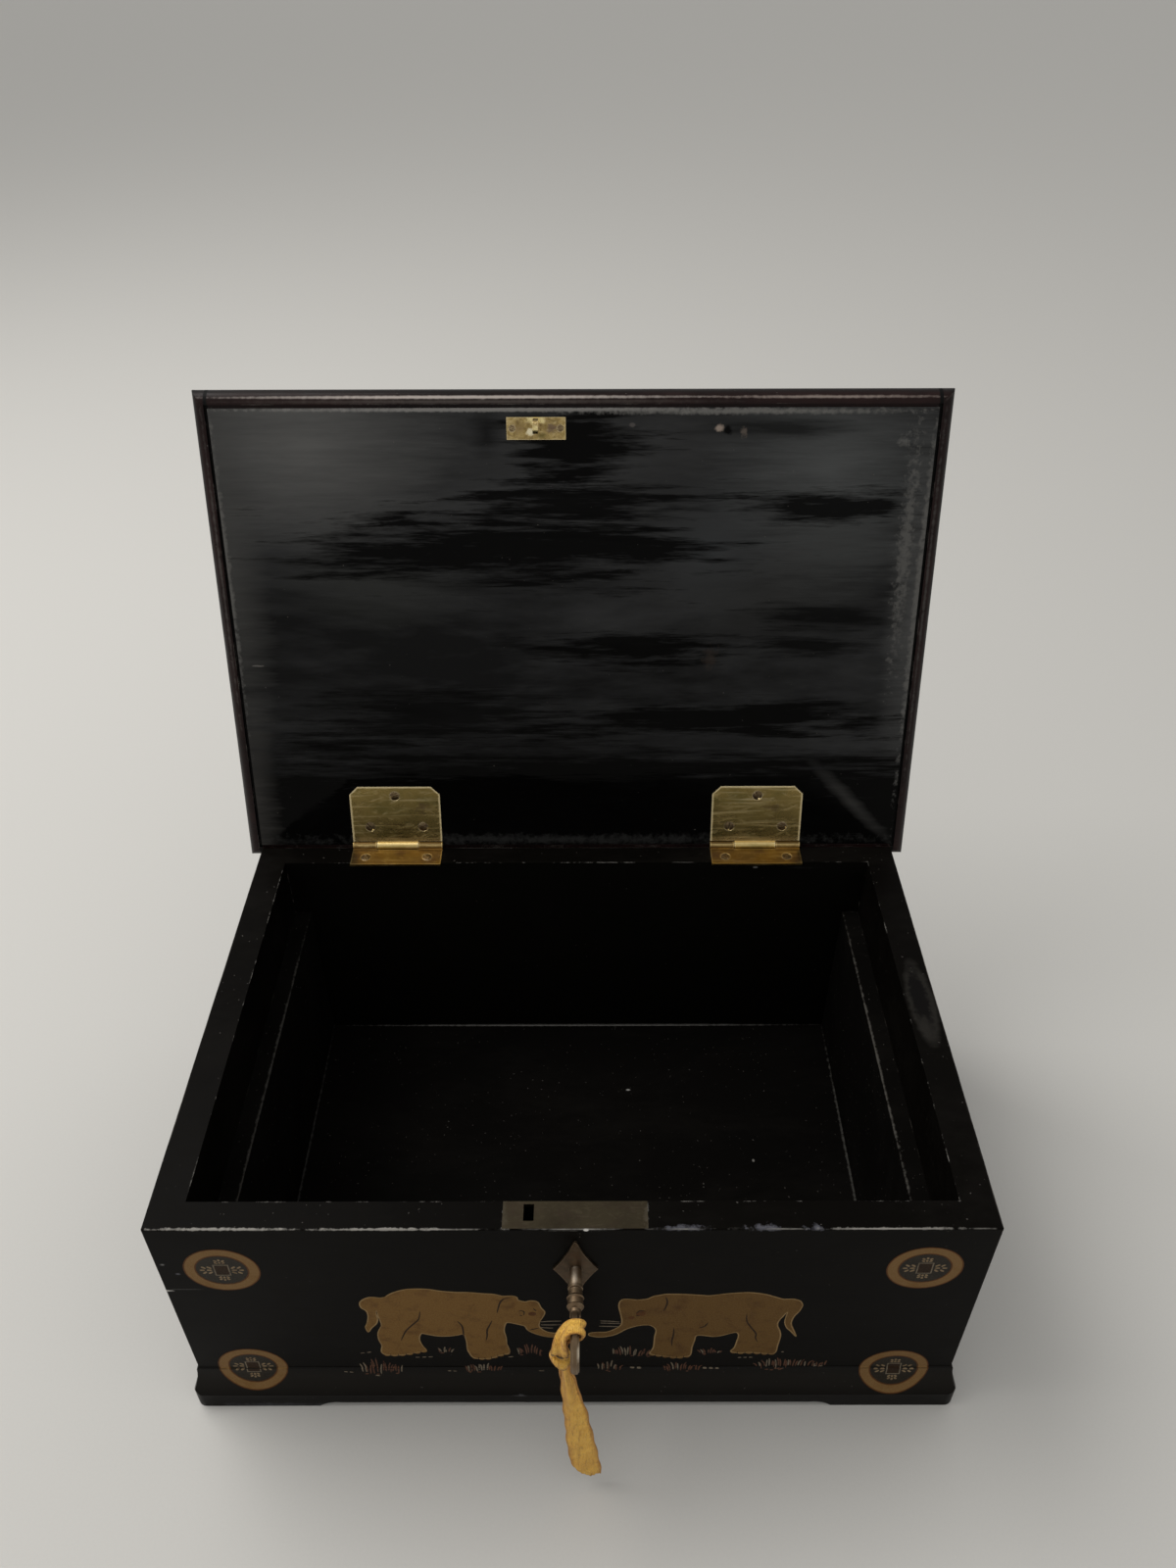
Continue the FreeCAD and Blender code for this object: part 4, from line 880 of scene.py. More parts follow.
def cloth_from(name, line, ring):
    """A sheet woven from rings of points, one ring for each point of the line."""
    form = bmesh.new()
    uv = form.loops.layers.uv.new("cloth")
    shares, length = shares_of(line)
    rows = []
    for index, place in enumerate(line):
        ahead = (line[min(index + 1, len(line) - 1)] - line[max(index - 1, 0)]).normalized()
        rows.append([form.verts.new(p) for p in ring(index, shares[index], place, ahead)])
    count = len(rows[0])
    for i in range(len(rows) - 1):
        for j in range(count - 1):
            face = form.faces.new((rows[i][j], rows[i][j + 1], rows[i + 1][j + 1], rows[i + 1][j]))
            for loop, (u, v) in zip(face.loops, ((j, i), (j + 1, i), (j + 1, i + 1), (j, i + 1))):
                loop[uv].uv = (u / (count - 1) * CLOTH_WIDTH, shares[v] * length)
    mesh = bpy.data.meshes.new(name)
    form.to_mesh(mesh)
    form.free()
    return add_object(name, mesh)


def cut_short(u):
    """The share of the tail that is missing at u across: the cut end is slanted and frayed."""
    frayed = 0.006 * math.sin(23 * u) + 0.004 * math.sin(61 * u + 1)
    return 0.085 * max(0.0, 0.15 - u) ** 1.4 + frayed


def tail_ring(index, share, place, ahead):
    """One ring of the tail: a wave across the cloth, its hollow side to the box."""
    places = []
    for j in range(ACROSS + 1):
        u = j / ACROSS * 2 - 1
        kept = 1 - cut_short(u) * share
        low = min(int(index * kept), len(tail_line) - 2)
        place = tail_line[low].lerp(tail_line[low + 1], index * kept - low)
        half, deep, folds, shift = between(TAIL_FOLDS, share * kept)
        side = Vector((1, 0, 0)) - ahead * ahead.x
        side.normalize()
        front = ahead.cross(side)
        front = -front if front.y > 0 else front
        curl = 0.25 * math.sin(9 * share + 2.2 * u) + 0.16 * math.sin(31 * share + 5 * u)
        wave = math.cos(math.pi * folds * u + 0.9 * share) * deep + curl * 0.6
        out = u * half + shift + 0.22 * math.sin(40 * share + (1.7 if u > 0 else 0)) * abs(u) ** 3
        places.append(place + side * out * MM + front * wave * MM)
    return places


def finish_cloth(cloth, thickness):
    """Thickness, a soft edge and smooth shading, all applied to the cloth just made."""
    solid = cloth.modifiers.new("thickness", "SOLIDIFY")
    solid.thickness = thickness * MM
    solid.offset = 0.0
    solid.use_even_offset = True
    soft = cloth.modifiers.new("soft", "SUBSURF")
    soft.levels = soft.render_levels = 1
    for modifier in ("thickness", "soft"):
        bpy.ops.object.modifier_apply(modifier=modifier)
    bpy.ops.object.shade_smooth()
    bpy.ops.object.mode_set(mode="EDIT")
    face_outwards()


tail = cloth_from("ribbon_tail_cloth", tail_line, tail_ring)
finish_cloth(tail, 0.9)
print("tail faces:", len(tail.data.polygons))

# %% [markdown]
# ## The loop and the knot
#
# The same cloth goes up from the knot on the left of the bow, lies over the bow's top, turns under
# its top bar and comes down through the eye, back into the knot. The strap lies flat on the top of
# the bow, so its width turns from across to front-to-back on the way: each station has its own
# width direction.

# %% Shape the loop
# place of the strap's middle, the direction of its width, and its half width, in mm
LOOP_STATIONS = [
    ((-4.2, -127.0, 92.0), (1.0, -0.1, 0.0), 2.4),
    ((-4.2, -130.0, 94.4), (1.0, -0.15, 0.0), 3.0),
    ((-4.0, -130.9, 98.6), (0.97, -0.25, 0.0), 3.2),
    ((-3.7, -130.4, 103.6), (0.90, -0.45, 0.0), 3.0),
    ((-2.9, -129.2, 108.4), (0.66, -0.75, 0.1), 2.7),
    ((-1.0, -128.5, 110.9), (0.25, -0.97, 0.1), 2.5),
    ((1.4, -128.4, 111.5), (0.0, -1.0, 0.0), 2.5),
    ((3.8, -128.4, 110.4), (-0.1, -1.0, 0.0), 2.5),
    ((3.9, -128.3, 107.6), (0.0, -1.0, 0.0), 2.4),
    ((2.9, -128.3, 105.9), (0.0, -1.0, 0.0), 2.3),
    ((0.9, -128.3, 105.6), (0.0, -1.0, 0.0), 2.3),
    ((-1.3, -128.2, 104.4), (0.1, -1.0, 0.0), 2.3),
    ((-2.4, -127.6, 99.0), (0.3, -0.95, 0.0), 2.2),
    ((-3.4, -127.2, 92.0), (0.5, -0.85, 0.0), 2.0)]
LOOP_ACROSS = 12
loop_line = smooth_line([place for place, _, _ in LOOP_STATIONS], 8)


def loop_ring(index, share, place, ahead):
    """One ring of the strap, lightly cupped and creased."""
    position = share * (len(LOOP_STATIONS) - 1)
    low = min(int(position), len(LOOP_STATIONS) - 2)
    t = position - low
    first, second = LOOP_STATIONS[low], LOOP_STATIONS[low + 1]
    wide = (Vector(first[1]) * (1 - t) + Vector(second[1]) * t)
    wide = (wide - ahead * wide.dot(ahead)).normalized()
    half = first[2] * (1 - t) + second[2] * t
    out = ahead.cross(wide).normalized()
    places = []
    for j in range(LOOP_ACROSS + 1):
        u = j / LOOP_ACROSS * 2 - 1
        fold = 0.34 * math.cos(math.pi * 1.5 * u + 2 * share) + 0.14 * math.sin(26 * share + 4 * u)
        places.append(place + wide * u * half * MM + out * (fold - 0.12 * u * u) * MM)
    return places


loop = cloth_from("ribbon_loop_cloth", loop_line, loop_ring)
finish_cloth(loop, 1.0)
print("loop faces:", len(loop.data.polygons))

# %% [markdown]
# The knot is a lump about 8 mm across and 13 mm high. It starts as a sphere, is drawn out upwards
# and pressed in along three slanting creases, where the cloth turns over itself. A sphere pulled in
# along grooves is quick and reads as a tight knot at this size.

# %% Shape the knot
KNOT = Vector((-3.9, -128.0, 89.6)) * MM
bpy.ops.object.select_all(action="DESELECT")
bpy.ops.mesh.primitive_uv_sphere_add(segments=48, ring_count=32, radius=3.9 * MM, location=KNOT)
knot = bpy.context.object
knot.name = "ribbon_knot_cloth"
bpy.ops.object.transform_apply(location=True, rotation=False, scale=False)


def press(at, crease, width, depth):
    """How far a crease, at that distance, pulls the cloth in."""
    return depth * math.exp(-((at - crease) / width) ** 2)


for vertex in knot.data.vertices:
    off = (vertex.co - KNOT) / MM
    way = off.normalized()
    slant = off.z + 0.34 * off.x + 0.05 * off.y
    pull = press(slant, 1.9, 0.30, 0.8) + press(slant, -3.1, 0.26, 0.85)
    pull += press(off.z - 0.6 * off.x, 0.2, 0.22, 0.35)
    swell = 0.30 * math.exp(-((slant + 0.8) / 1.2) ** 2)
    swell += 0.20 * math.sin(6 * way.x + 4 * way.z) * math.cos(5 * way.y)
    squeeze = Vector((way.x * (0.90 + 0.14 * way.z) - 0.18 * way.z, way.y * 0.90, way.z * 1.62))
    vertex.co = KNOT + squeeze * (off.length + swell - pull) * MM
bpy.ops.object.shade_smooth()
knot.data.uv_layers[0].name = "cloth"
for corner in knot.data.uv_layers[0].data:
    corner.uv = (CLOTH_WIDTH / 2, corner.uv.y * 0.02)
print("knot size:", [round(v / MM, 1) for v in knot.dimensions])

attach(tail, "tail")
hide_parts("ribbon_tail")
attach(loop, "key")
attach(knot, "key")
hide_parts("ribbon_knot")

# %% Ochre cloth
# the colours of the painted shade in the creases, along the edges and in the knot's folds
OCHRE_SHADE = (0.33, 0.105, 0.014, 1)
DIRTY, PALE_NAP = (0.27, 0.095, 0.015, 1), (1.0, 0.66, 0.16, 1)
FOLD_SHADE = (0.050, 0.020, 0.005, 1)
# painted shade in the folds of the knot: the middle of each short length, in mm
CREASES = [(-7.4, -127.8, 93.4), (-6.7, -130.6, 96.4), (-6.0, -130.5, 94.9), (-5.2, -130.4, 94.2),
           (-4.4, -130.5, 94.0), (-3.6, -130.6, 93.9), (-2.9, -130.7, 94.3), (-2.2, -131.3, 95.2),
           (-1.5, -131.8, 96.8), (-0.9, -131.6, 98.6), (-0.5, -131.0, 100.6), (-0.2, -129.9, 104.0),
           (-4.4, -131.2, 86.0), (-3.5, -131.4, 86.6), (-2.6, -131.2, 86.4), (-1.8, -130.6, 86.0)]


def cloth(name, light, dark):
    """Soft woven cloth, with painted shade in its creases, at its edges and where it turns away."""
    material, tree, place, shader = start_material(
        name, Roughness=0.92, Sheen_Weight=0.35, Sheen_Roughness=0.5,
        Sheen_Tint=(1.0, 0.75, 0.4, 1))
    nap = noise(tree, place, 900.0, 3.0, 0.7)
    blotch = noise(tree, place, 170.0, 4.0, 0.6)
    dirt = noise(tree, place, 420.0, 5.0, 0.7, 0.5)
    creased = noise(tree, stretched(tree, place, (1.6, 1.2, 0.22)), 420.0, 4.0, 0.62, 0.4)
    weave = add_node(tree, "ShaderNodeTexWave", {"Vector": place, "Scale": 520.0, "Distortion": 6.0,
                                                 "Detail": 2.0}).outputs["Fac"]
    sheet = add_node(tree, "ShaderNodeUVMap", uv_map="cloth").outputs[0]
    across = maths(tree, "MULTIPLY_ADD", part_of(tree, sheet, "X"), 2 / CLOTH_WIDTH, -1.0)
    edge_shade = maths(tree, "MULTIPLY_ADD", dirt, 0.5, maths(tree, "ABSOLUTE", across))
    turned = add_node(tree, "ShaderNodeLayerWeight", {"Blend": 0.42}).outputs["Facing"]
    colour = light
    # the creases, the edges and where the cloth turns away from the view get painted shade
    for value, low, high, share, tint in (
            (blotch, 0.3, 0.7, 0.55, dark), (dirt, 0.55, 0.75, 0.7, DIRTY),
            (nap, 0.5, 0.75, 0.6, PALE_NAP), (creased, 0.52, 0.74, 0.7, OCHRE_SHADE),
            (edge_shade, 0.9, 1.25, 0.7, OCHRE_SHADE), (turned, 0.35, 0.9, 0.8, OCHRE_SHADE)):
        colour = tinted_above(tree, colour, value, low, high, share, tint)
    edges = torn_edges(tree, place)
    # painted shade along the knot's folds
    for middle in CREASES:
        here = marked(tree, place, edges, middle, (1.0, 2.4, 0.85), 0.25, 0.6)
        colour = tinted(tree, colour, here, 0.9, FOLD_SHADE)
    put(tree, colour, shader.inputs["Base Color"])
    height = maths(tree, "MULTIPLY_ADD", weave, 0.25, nap)
    bump(tree, shader, maths(tree, "MULTIPLY_ADD", creased, 2.6, height), 0.7 * MM)
    return material


ribbon_cloth = cloth("ribbon_cloth", (0.98, 0.57, 0.092, 1), (0.70, 0.33, 0.040, 1))
for piece in (tail, loop, knot):
    finish_with(piece, ribbon_cloth)

# %% [markdown]
# ## Gilt painting on the front
#
# The pictures are gold powder in lacquer, so thin that they have no side to speak of. Each is drawn
# as flat closed outlines, filled by a 2D curve, given a twentieth of a millimetre of body and
# turned up on to the front of the box. Where a picture runs down over the hollow base moulding it
# is cut in level strips and each point is laid on the moulding under it, so it never hangs in the
# air.

# %% Lay a flat drawing on the front of the box
FRONT_Y = -100 * MM
FLARE_TOP = 24.0
PAINT = 0.05 * MM
WELD = 0.001 * MM
LEVELS = (24.05, 23.95, 23.4, 21.5, 19.5, 17.5, 15.5, 13.5, 11.5, 10.0)


def circle(x, z, radius, count=72):
    """A round outline about that middle."""
    turns = [2 * math.pi * i / count for i in range(count)]
    return [(x + radius * math.cos(turn), z + radius * math.sin(turn)) for turn in turns]


def curve_part(a, b, c, d, steps):
    """Points from b almost to c, on a line that is rounded through all four (Catmull-Rom)."""
    for t in [step / steps for step in range(steps)]:
        yield tuple(0.5 * (2 * q + (r - p) * t + (2 * p - 5 * q + 4 * r - u) * t * t
                           + (3 * q - p - 3 * r + u) * t ** 3) for p, q, r, u in zip(a, b, c, d))


def rounded_through(points, steps):
    """The rounded line from the second of the points almost to the last but one."""
    fours = zip(points, points[1:], points[2:], points[3:])
    return [place for four in fours for place in curve_part(*four, steps)]


def smooth_closed(points, steps=4):
    """A closed outline rounded through its points."""
    return rounded_through(points[-1:] + points + points[:2], steps)


def finer(points, steps=3):
    """An open line with points added between, rounded like a hand-drawn stroke."""
    return rounded_through([points[0], *points, points[-1]], steps) + [points[-1]]


def brush_stroke(points, width, tip=0.15):
    """The closed outline of a stroke along an open line, thin at both ends."""
    count = len(points)
    left, right = [], []
    for i, (x, z) in enumerate(points):
        ax, az = points[max(i - 1, 0)]
        bx, bz = points[min(i + 1, count - 1)]
        long = math.hypot(bx - ax, bz - az) or 1.0
        nx, nz = -(bz - az) / long, (bx - ax) / long
        half = width / 2 * (tip + (1 - tip) * math.sin(math.pi * i / (count - 1)) ** 0.5)
        left.append((x + nx * half, z + nz * half))
        right.append((x - nx * half, z - nz * half))
    return left + right[::-1]


def surface_y(x, z):
    """The front of whatever is under a point of the drawing."""
    found = [FRONT_Y]
    for name in ("base_moulding_front", "front_board"):
        hit, place, _, _ = NODES[name].ray_cast(Vector((x, 2 * FRONT_Y, z)), Vector((0, 1, 0)))
        if hit:
            found.append(place.y)
    return min(found)


def wrap_down(piece):
    """Cuts the drawing level, so that it can follow the moulding's hollow."""
    bpy.ops.object.mode_set(mode="EDIT")
    for level in LEVELS:
        bpy.ops.mesh.select_all(action="SELECT")
        bpy.ops.mesh.bisect(plane_co=(0, 0, level * MM), plane_no=(0, 0, 1))
    bpy.ops.object.mode_set(mode="OBJECT")


def painted(name, outlines, material, lift=0.0):
    """Flat outlines in mm (x, z), filled, given a body and laid on the front of the box."""
    curve = bpy.data.curves.new(name, "CURVE")
    curve.dimensions = "2D"
    curve.fill_mode = "BOTH"
    curve.extrude = PAINT
    for outline in outlines:
        spline = curve.splines.new("POLY")
        spline.points.add(len(outline) - 1)
        for point, (x, z) in zip(spline.points, outline):
            point.co = (x * MM, z * MM, 0, 1)
        spline.use_cyclic_u = True
    piece = add_object(name, curve)
    bpy.ops.object.convert(target="MESH")
    piece.rotation_euler = (math.pi / 2, 0, 0)
    bpy.ops.object.transform_apply(location=False, rotation=True, scale=False)
    if min(z for outline in outlines for _, z in outline) < FLARE_TOP:
        wrap_down(piece)
    for vertex in piece.data.vertices:
        x, _, z = vertex.co
        ground = surface_y(x, z) if z < (FLARE_TOP + 0.1) * MM else FRONT_Y
        vertex.co.y += ground - lift * MM
    bpy.ops.object.mode_set(mode="EDIT")
    bpy.ops.mesh.select_all(action="SELECT")
    bpy.ops.mesh.remove_doubles(threshold=WELD)
    face_outwards()
    finish_with(piece, material)
    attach(piece, "case")


# %% [markdown]
# ### Gold paint
#
# Old gilding is not a mirror: it is a matte ochre brown with a soft sheen, rubbed thinner in
# patches so that the black shows through. The paint is half metal, rough, and darker where the mask
# says it has worn. Each kind of mark has its own mix: ochre for the pictures, dark red-brown for
# the lines, straw for the tusks, and grey-brown for the grass.

# %% Paint finishes
def gilt(name, bright, thin, size=90.0, metallic=0.35, roughness=0.62):
    """Old gold paint, bright where it is whole and of the thin colour where it is rubbed."""
    material, tree, place, shader = start_material(name, Metallic=metallic, Specular_IOR_Level=0.15)
    rub = noise(tree, place, size, 6.0, 0.65, 0.3)
    grain = noise(tree, place, 1600.0, 2.0, 0.6)
    colour = mix_colour(tree, rescale(tree, rub, 0.48, 0.72), bright, thin)
    colour = tinted_above(tree, colour, grain, 0.35, 0.7, 0.35, thin)
    put(tree, colour, shader.inputs["Base Color"])
    put(tree, rescale(tree, grain, 0.2, 0.8, roughness - 0.08, roughness + 0.12),
        shader.inputs["Roughness"])
    bump(tree, shader, grain, 0.04 * MM)
    return material


gold_paint = gilt("gold_paint", (0.192, 0.103, 0.027, 1), (0.118, 0.056, 0.0145, 1), 140.0)
dim_gold_paint = gilt("dim_gold_paint", (0.138, 0.074, 0.019, 1), (0.088, 0.041, 0.011, 1), 140.0)
edge_paint = gilt("edge_paint", (0.30, 0.20, 0.09, 1), (0.17, 0.10, 0.035, 1), 200.0)
coin_paint = gilt("coin_paint", (0.205, 0.118, 0.045, 1), (0.165, 0.083, 0.021, 1), 60.0)
line_paint = gilt("line_paint", (0.030, 0.015, 0.006, 1), (0.018, 0.010, 0.005, 1))
rust_paint = gilt("rust_paint", (0.105, 0.040, 0.010, 1), (0.06, 0.024, 0.008, 1), 300.0)
straw_paint = gilt("straw_paint", (0.19, 0.155, 0.11, 1), (0.07, 0.052, 0.036, 1), 350.0)
grass_paint = gilt("grass_paint", (0.115, 0.052, 0.030, 1), (0.040, 0.022, 0.015, 1), 420.0)
mark_paint = gilt("mark_paint", (0.25, 0.18, 0.105, 1), (0.12, 0.08, 0.045, 1), 300.0)
field_paint = gilt("field_paint", (0.0165, 0.0115, 0.0055, 1), (0.0065, 0.005, 0.003, 1), 140.0,
                   0.1, 0.5)
print("paints made")

# %% [markdown]
# ### The two elephants
#
# They face each other with trunks almost touching behind the key. The body is one outline, with a
# pale broken edge and round toes. The folds of the skin, the ear, the eye and the gaps between the
# toes are thin dark strokes laid over it, the face has a red-brown blush, and the tusks are thin
# straw-coloured strokes beyond it.

# %% Outlines of the elephants
LEFT_ELEPHANT = [
    (-69.8, 77.9), (-71.8, 77.4), (-74.9, 77.9), (-77.7, 76.6), (-79.6, 73.9), (-79.5, 70.3),
    (-77.9, 68.1), (-77.6, 64.1), (-78.6, 58.9), (-79.7, 55.9), (-79.0, 52.0), (-77.3, 55.2),
    (-75.2, 58.3), (-74.3, 61.5), (-74.3, 65.2), (-74.2, 68.1), (-73.8, 64.1), (-73.3, 59.4),
    (-73.4, 56.7), (-75.3, 51.4), (-75.5, 46.0), (-74.8, 41.6), (-75.5, 37.7), (-74.9, 34.9),
    (-71.2, 33.7), (-66.8, 34.3), (-62.2, 35.9), (-57.7, 37.3), (-59.4, 42.6), (-59.8, 47.0),
    (-58.7, 50.8), (-56.6, 50.3), (-52.4, 48.9), (-48.1, 48.9), (-44.8, 49.7), (-43.1, 50.4),
    (-42.1, 49.1), (-41.7, 43.7), (-41.8, 39.2), (-41.3, 35.9), (-39.9, 31.9), (-36.7, 30.8),
    (-32.8, 31.3), (-29.4, 33.6), (-25.4, 35.8), (-26.2, 42.5), (-26.3, 48.0), (-26.8, 53.4),
    (-25.8, 58.7), (-23.9, 58.9), (-20.8, 57.6), (-18.7, 56.4), (-17.7, 53.4), (-15.1, 50.7),
    (-11.4, 48.5), (-8.2, 47.9), (-4.9, 48.5), (-1.7, 50.1), (-1.6, 51.7), (-4.9, 51.0),
    (-9.2, 51.4), (-11.8, 53.4), (-13.3, 56.6), (-12.8, 60.3), (-11.5, 63.9), (-10.9, 67.0),
    (-12.2, 70.1), (-13.4, 74.2), (-15.9, 75.2), (-18.0, 74.4), (-20.6, 75.7), (-21.0, 77.8),
    (-23.1, 78.8), (-26.2, 78.5), (-29.2, 79.8), (-33.3, 80.3), (-38.4, 81.1), (-43.6, 81.3),
    (-48.7, 82.1), (-52.7, 83.3), (-56.8, 83.8), (-60.9, 83.6), (-64.1, 82.4), (-67.4, 80.4)]
RIGHT_ELEPHANT = [
    (9.1, 51.8), (12.3, 51.8), (15.5, 53.9), (17.9, 57.1), (18.2, 61.3), (17.5, 66.5),
    (16.9, 71.7), (17.6, 75.2), (19.4, 76.2), (23.6, 75.7), (27.2, 76.2), (29.7, 78.2),
    (31.8, 78.9), (34.3, 79.7), (38.0, 79.7), (42.1, 79.5), (47.3, 78.9), (50.4, 78.6),
    (54.5, 79.6), (59.6, 80.4), (64.7, 80.8), (70.0, 79.8), (73.8, 78.1), (77.6, 76.1),
    (79.2, 76.0), (81.8, 76.0), (84.5, 74.5), (85.6, 71.5), (84.8, 67.4), (83.1, 63.2),
    (82.6, 58.0), (84.2, 52.6), (85.5, 48.1), (83.2, 52.1), (81.3, 54.8), (80.1, 59.0),
    (80.1, 62.7), (80.4, 66.9), (79.1, 63.8), (77.6, 59.6), (77.7, 55.9), (78.8, 52.6),
    (79.5, 48.3), (79.1, 41.7), (78.8, 35.6), (76.8, 34.5), (72.9, 35.1), (68.4, 35.6),
    (64.1, 35.3), (61.2, 36.5), (62.4, 39.6), (62.9, 44.0), (63.3, 48.9), (62.3, 51.4),
    (59.7, 50.5), (56.6, 48.9), (53.4, 48.2), (50.1, 49.0), (47.1, 49.0), (46.5, 45.1),
    (45.8, 39.6), (45.5, 33.5), (43.3, 32.3), (40.1, 31.5), (35.6, 32.7), (31.2, 33.8),
    (29.5, 35.2), (30.2, 37.4), (30.9, 40.8), (31.0, 47.4), (31.4, 52.8), (30.5, 55.5),
    (28.8, 57.1), (26.2, 57.1), (23.0, 56.0), (19.8, 53.9), (16.1, 50.1), (12.3, 48.3),
    (9.1, 48.0), (5.9, 49.1), (5.9, 50.9)]

# %% Lines inside the elephants, and their tusks
SKIN_LINES = [
    [(-57.8, 67.7), (-58.7, 62.0), (-61.3, 57.8), (-64.1, 53.5), (-65.8, 49.2), (-67.0, 45.4)],
    [(-44.3, 60.4), (-42.7, 56.7), (-42.5, 52.4), (-42.6, 48.0)],
    [(-31.0, 60.8), (-32.3, 56.6), (-33.3, 53.4), (-33.5, 49.1), (-34.2, 45.3)],
    [(-23.4, 77.4), (-25.8, 76.6), (-27.2, 74.3), (-28.0, 71.2), (-28.9, 66.1)],
    [(-17.2, 53.4), (-13.4, 55.0)], [(34.2, 77.7), (34.9, 74.7), (34.7, 71.6), (33.8, 67.5)],
    [(38.2, 54.9), (38.2, 49.5), (37.8, 45.2), (38.0, 40.8)],
    [(65.2, 65.4), (65.6, 60.1), (67.4, 55.6), (69.9, 50.5), (69.9, 47.3), (71.0, 44.0)],
    [(47.6, 54.9), (49.7, 55.9), (51.0, 59.0)]]
EYE_MARKS = [[(-20.6, 67.6), (-19.6, 67.9), (-18.6, 66.9), (-18.9, 64.5)],
             [(-15.2, 69.6), (-14.0, 67.6)],
             [(23.6, 65.5), (24.8, 67.9), (26.9, 67.5)], [(23.3, 63.9), (24.9, 64.4)],
             [(-20.4, 64.6), (-19.4, 64.2)]]
TUSKS = [[(-12.8, 59.7), (-8.7, 60.1), (-4.7, 60.2)], [(-12.7, 57.4), (-8.7, 57.3), (-4.8, 57.4)],
         [(-13.1, 55.5), (-10.5, 55.1), (-8.0, 54.9)], [(10.1, 60.3), (13.7, 60.0), (17.3, 59.4)],
         [(10.1, 58.7), (14.0, 58.5), (17.9, 58.2)], [(9.6, 56.3), (13.4, 56.1), (17.1, 56.0)]]
TOES = [(-73.6, 34.4), (-70.7, 34.1), (-67.6, 34.4), (-64.6, 35.2), (-61.6, 36.2), (-58.9, 37.2),
        (-39.0, 31.9), (-36.6, 31.1), (-34.0, 31.3), (-31.4, 32.5), (-29.0, 33.9), (-26.6, 35.3),
        (77.4, 34.9), (74.6, 34.9), (71.6, 35.3), (68.4, 35.6), (65.2, 35.5), (62.4, 36.1),
        (44.2, 32.8), (41.6, 31.9), (38.8, 31.9), (35.8, 32.7), (33.0, 33.4), (30.6, 34.3)]
BLUSH = [(-15.6, 65.6, 1.5), (25.2, 65.8, 1.9), (21.8, 62.6, 1.2)]
SPOT, TOE_R, SAME_FOOT = 14, 1.25, 4


def outline_strokes(outline, width, run=9):
    """Short strokes that follow a closed outline, with small gaps where the brush was lifted."""
    closed = outline + outline[:1]
    return [brush_stroke(finer(closed[i:i + run + 1]), width, 0.45)
            for i in range(0, len(closed) - 3, run)]


for side, outline, paint in (("left", LEFT_ELEPHANT, gold_paint),
                             ("right", RIGHT_ELEPHANT, dim_gold_paint)):
    toes = [circle(x, z, TOE_R, SPOT) for x, z in TOES if (x < 0) == (side == "left")]
    painted(f"elephant_{side}", [smooth_closed(outline)], paint)
    painted(f"elephant_toes_{side}", toes, paint, 0.008)
    painted(f"elephant_edge_{side}", outline_strokes(outline, 0.55), edge_paint, 0.02)
lines = [brush_stroke(finer(line), 0.7) for line in SKIN_LINES]
lines += [brush_stroke(finer(line), 0.55) for line in EYE_MARKS]
for (x0, z0), (x1, z1) in zip(TOES, TOES[1:]):
    if abs(x0 - x1) < SAME_FOOT:
        x, z = (x0 + x1) / 2, (z0 + z1) / 2
        lines.append(brush_stroke([(x, z - 0.9), (x, z + 0.6)], 0.4, 0.6))
painted("elephant_lines", lines, line_paint, 0.035)
painted("elephant_blush", [circle(*spot, SPOT) for spot in BLUSH], rust_paint, 0.028)
tusks = [brush_stroke(finer(line), 0.5, 0.5) for line in TUSKS]
painted("elephant_tusks", tusks, straw_paint, 0.03)
print("elephants painted")

# %% [markdown]
# ### Grass and dashes
#
# The grass stands in tufts below the elephants: short tapering blades, reddish or grey, with small
# pale dashes between. The blades are drawn by a loop from seeded random numbers inside the place of
# each tuft, so every run gives the same grass.

# %% Grow the tufts
TUFTS = [(-84.7, 31.5, -68.8, 18.7), (-53.6, 40.9, -47.5, 34.8), (-43.5, 27.9, -29.4, 20.9),
         (-22.4, 43.1, -12.3, 32.4), (9.2, 30.2, 18.1, 21.5), (14.6, 41.4, 29.6, 31.8),
         (35.8, 28.4, 49.4, 21.4), (49.0, 39.6, 57.6, 34.0), (72.0, 31.7, 99.6, 22.4)]
DASHES = [(-83.9, 35.4, -78.6, 36.6), (-62.6, 32.0, -54.8, 32.5), (-50.6, 22.2, -46.2, 21.9),
          (-26.1, 32.2, -22.8, 32.7), (-92.0, 21.7, -87.6, 21.1), (-14.3, 22.1, -10.9, 22.0),
          (-79.7, 19.3, -76.7, 18.7), (64.3, 31.5, 70.9, 31.7), (81.0, 35.9, 82.6, 36.2),
          (51.0, 23.7, 58.3, 23.5), (94.9, 24.7, 99.4, 24.5), (22.0, 23.9, 27.5, 23.7)]
BLADE_GAP, DASH_STEP, PALE_SHARE = 0.95, 2.4, 0.3
draw = random.Random(21)
blades, pale_blades = [], []
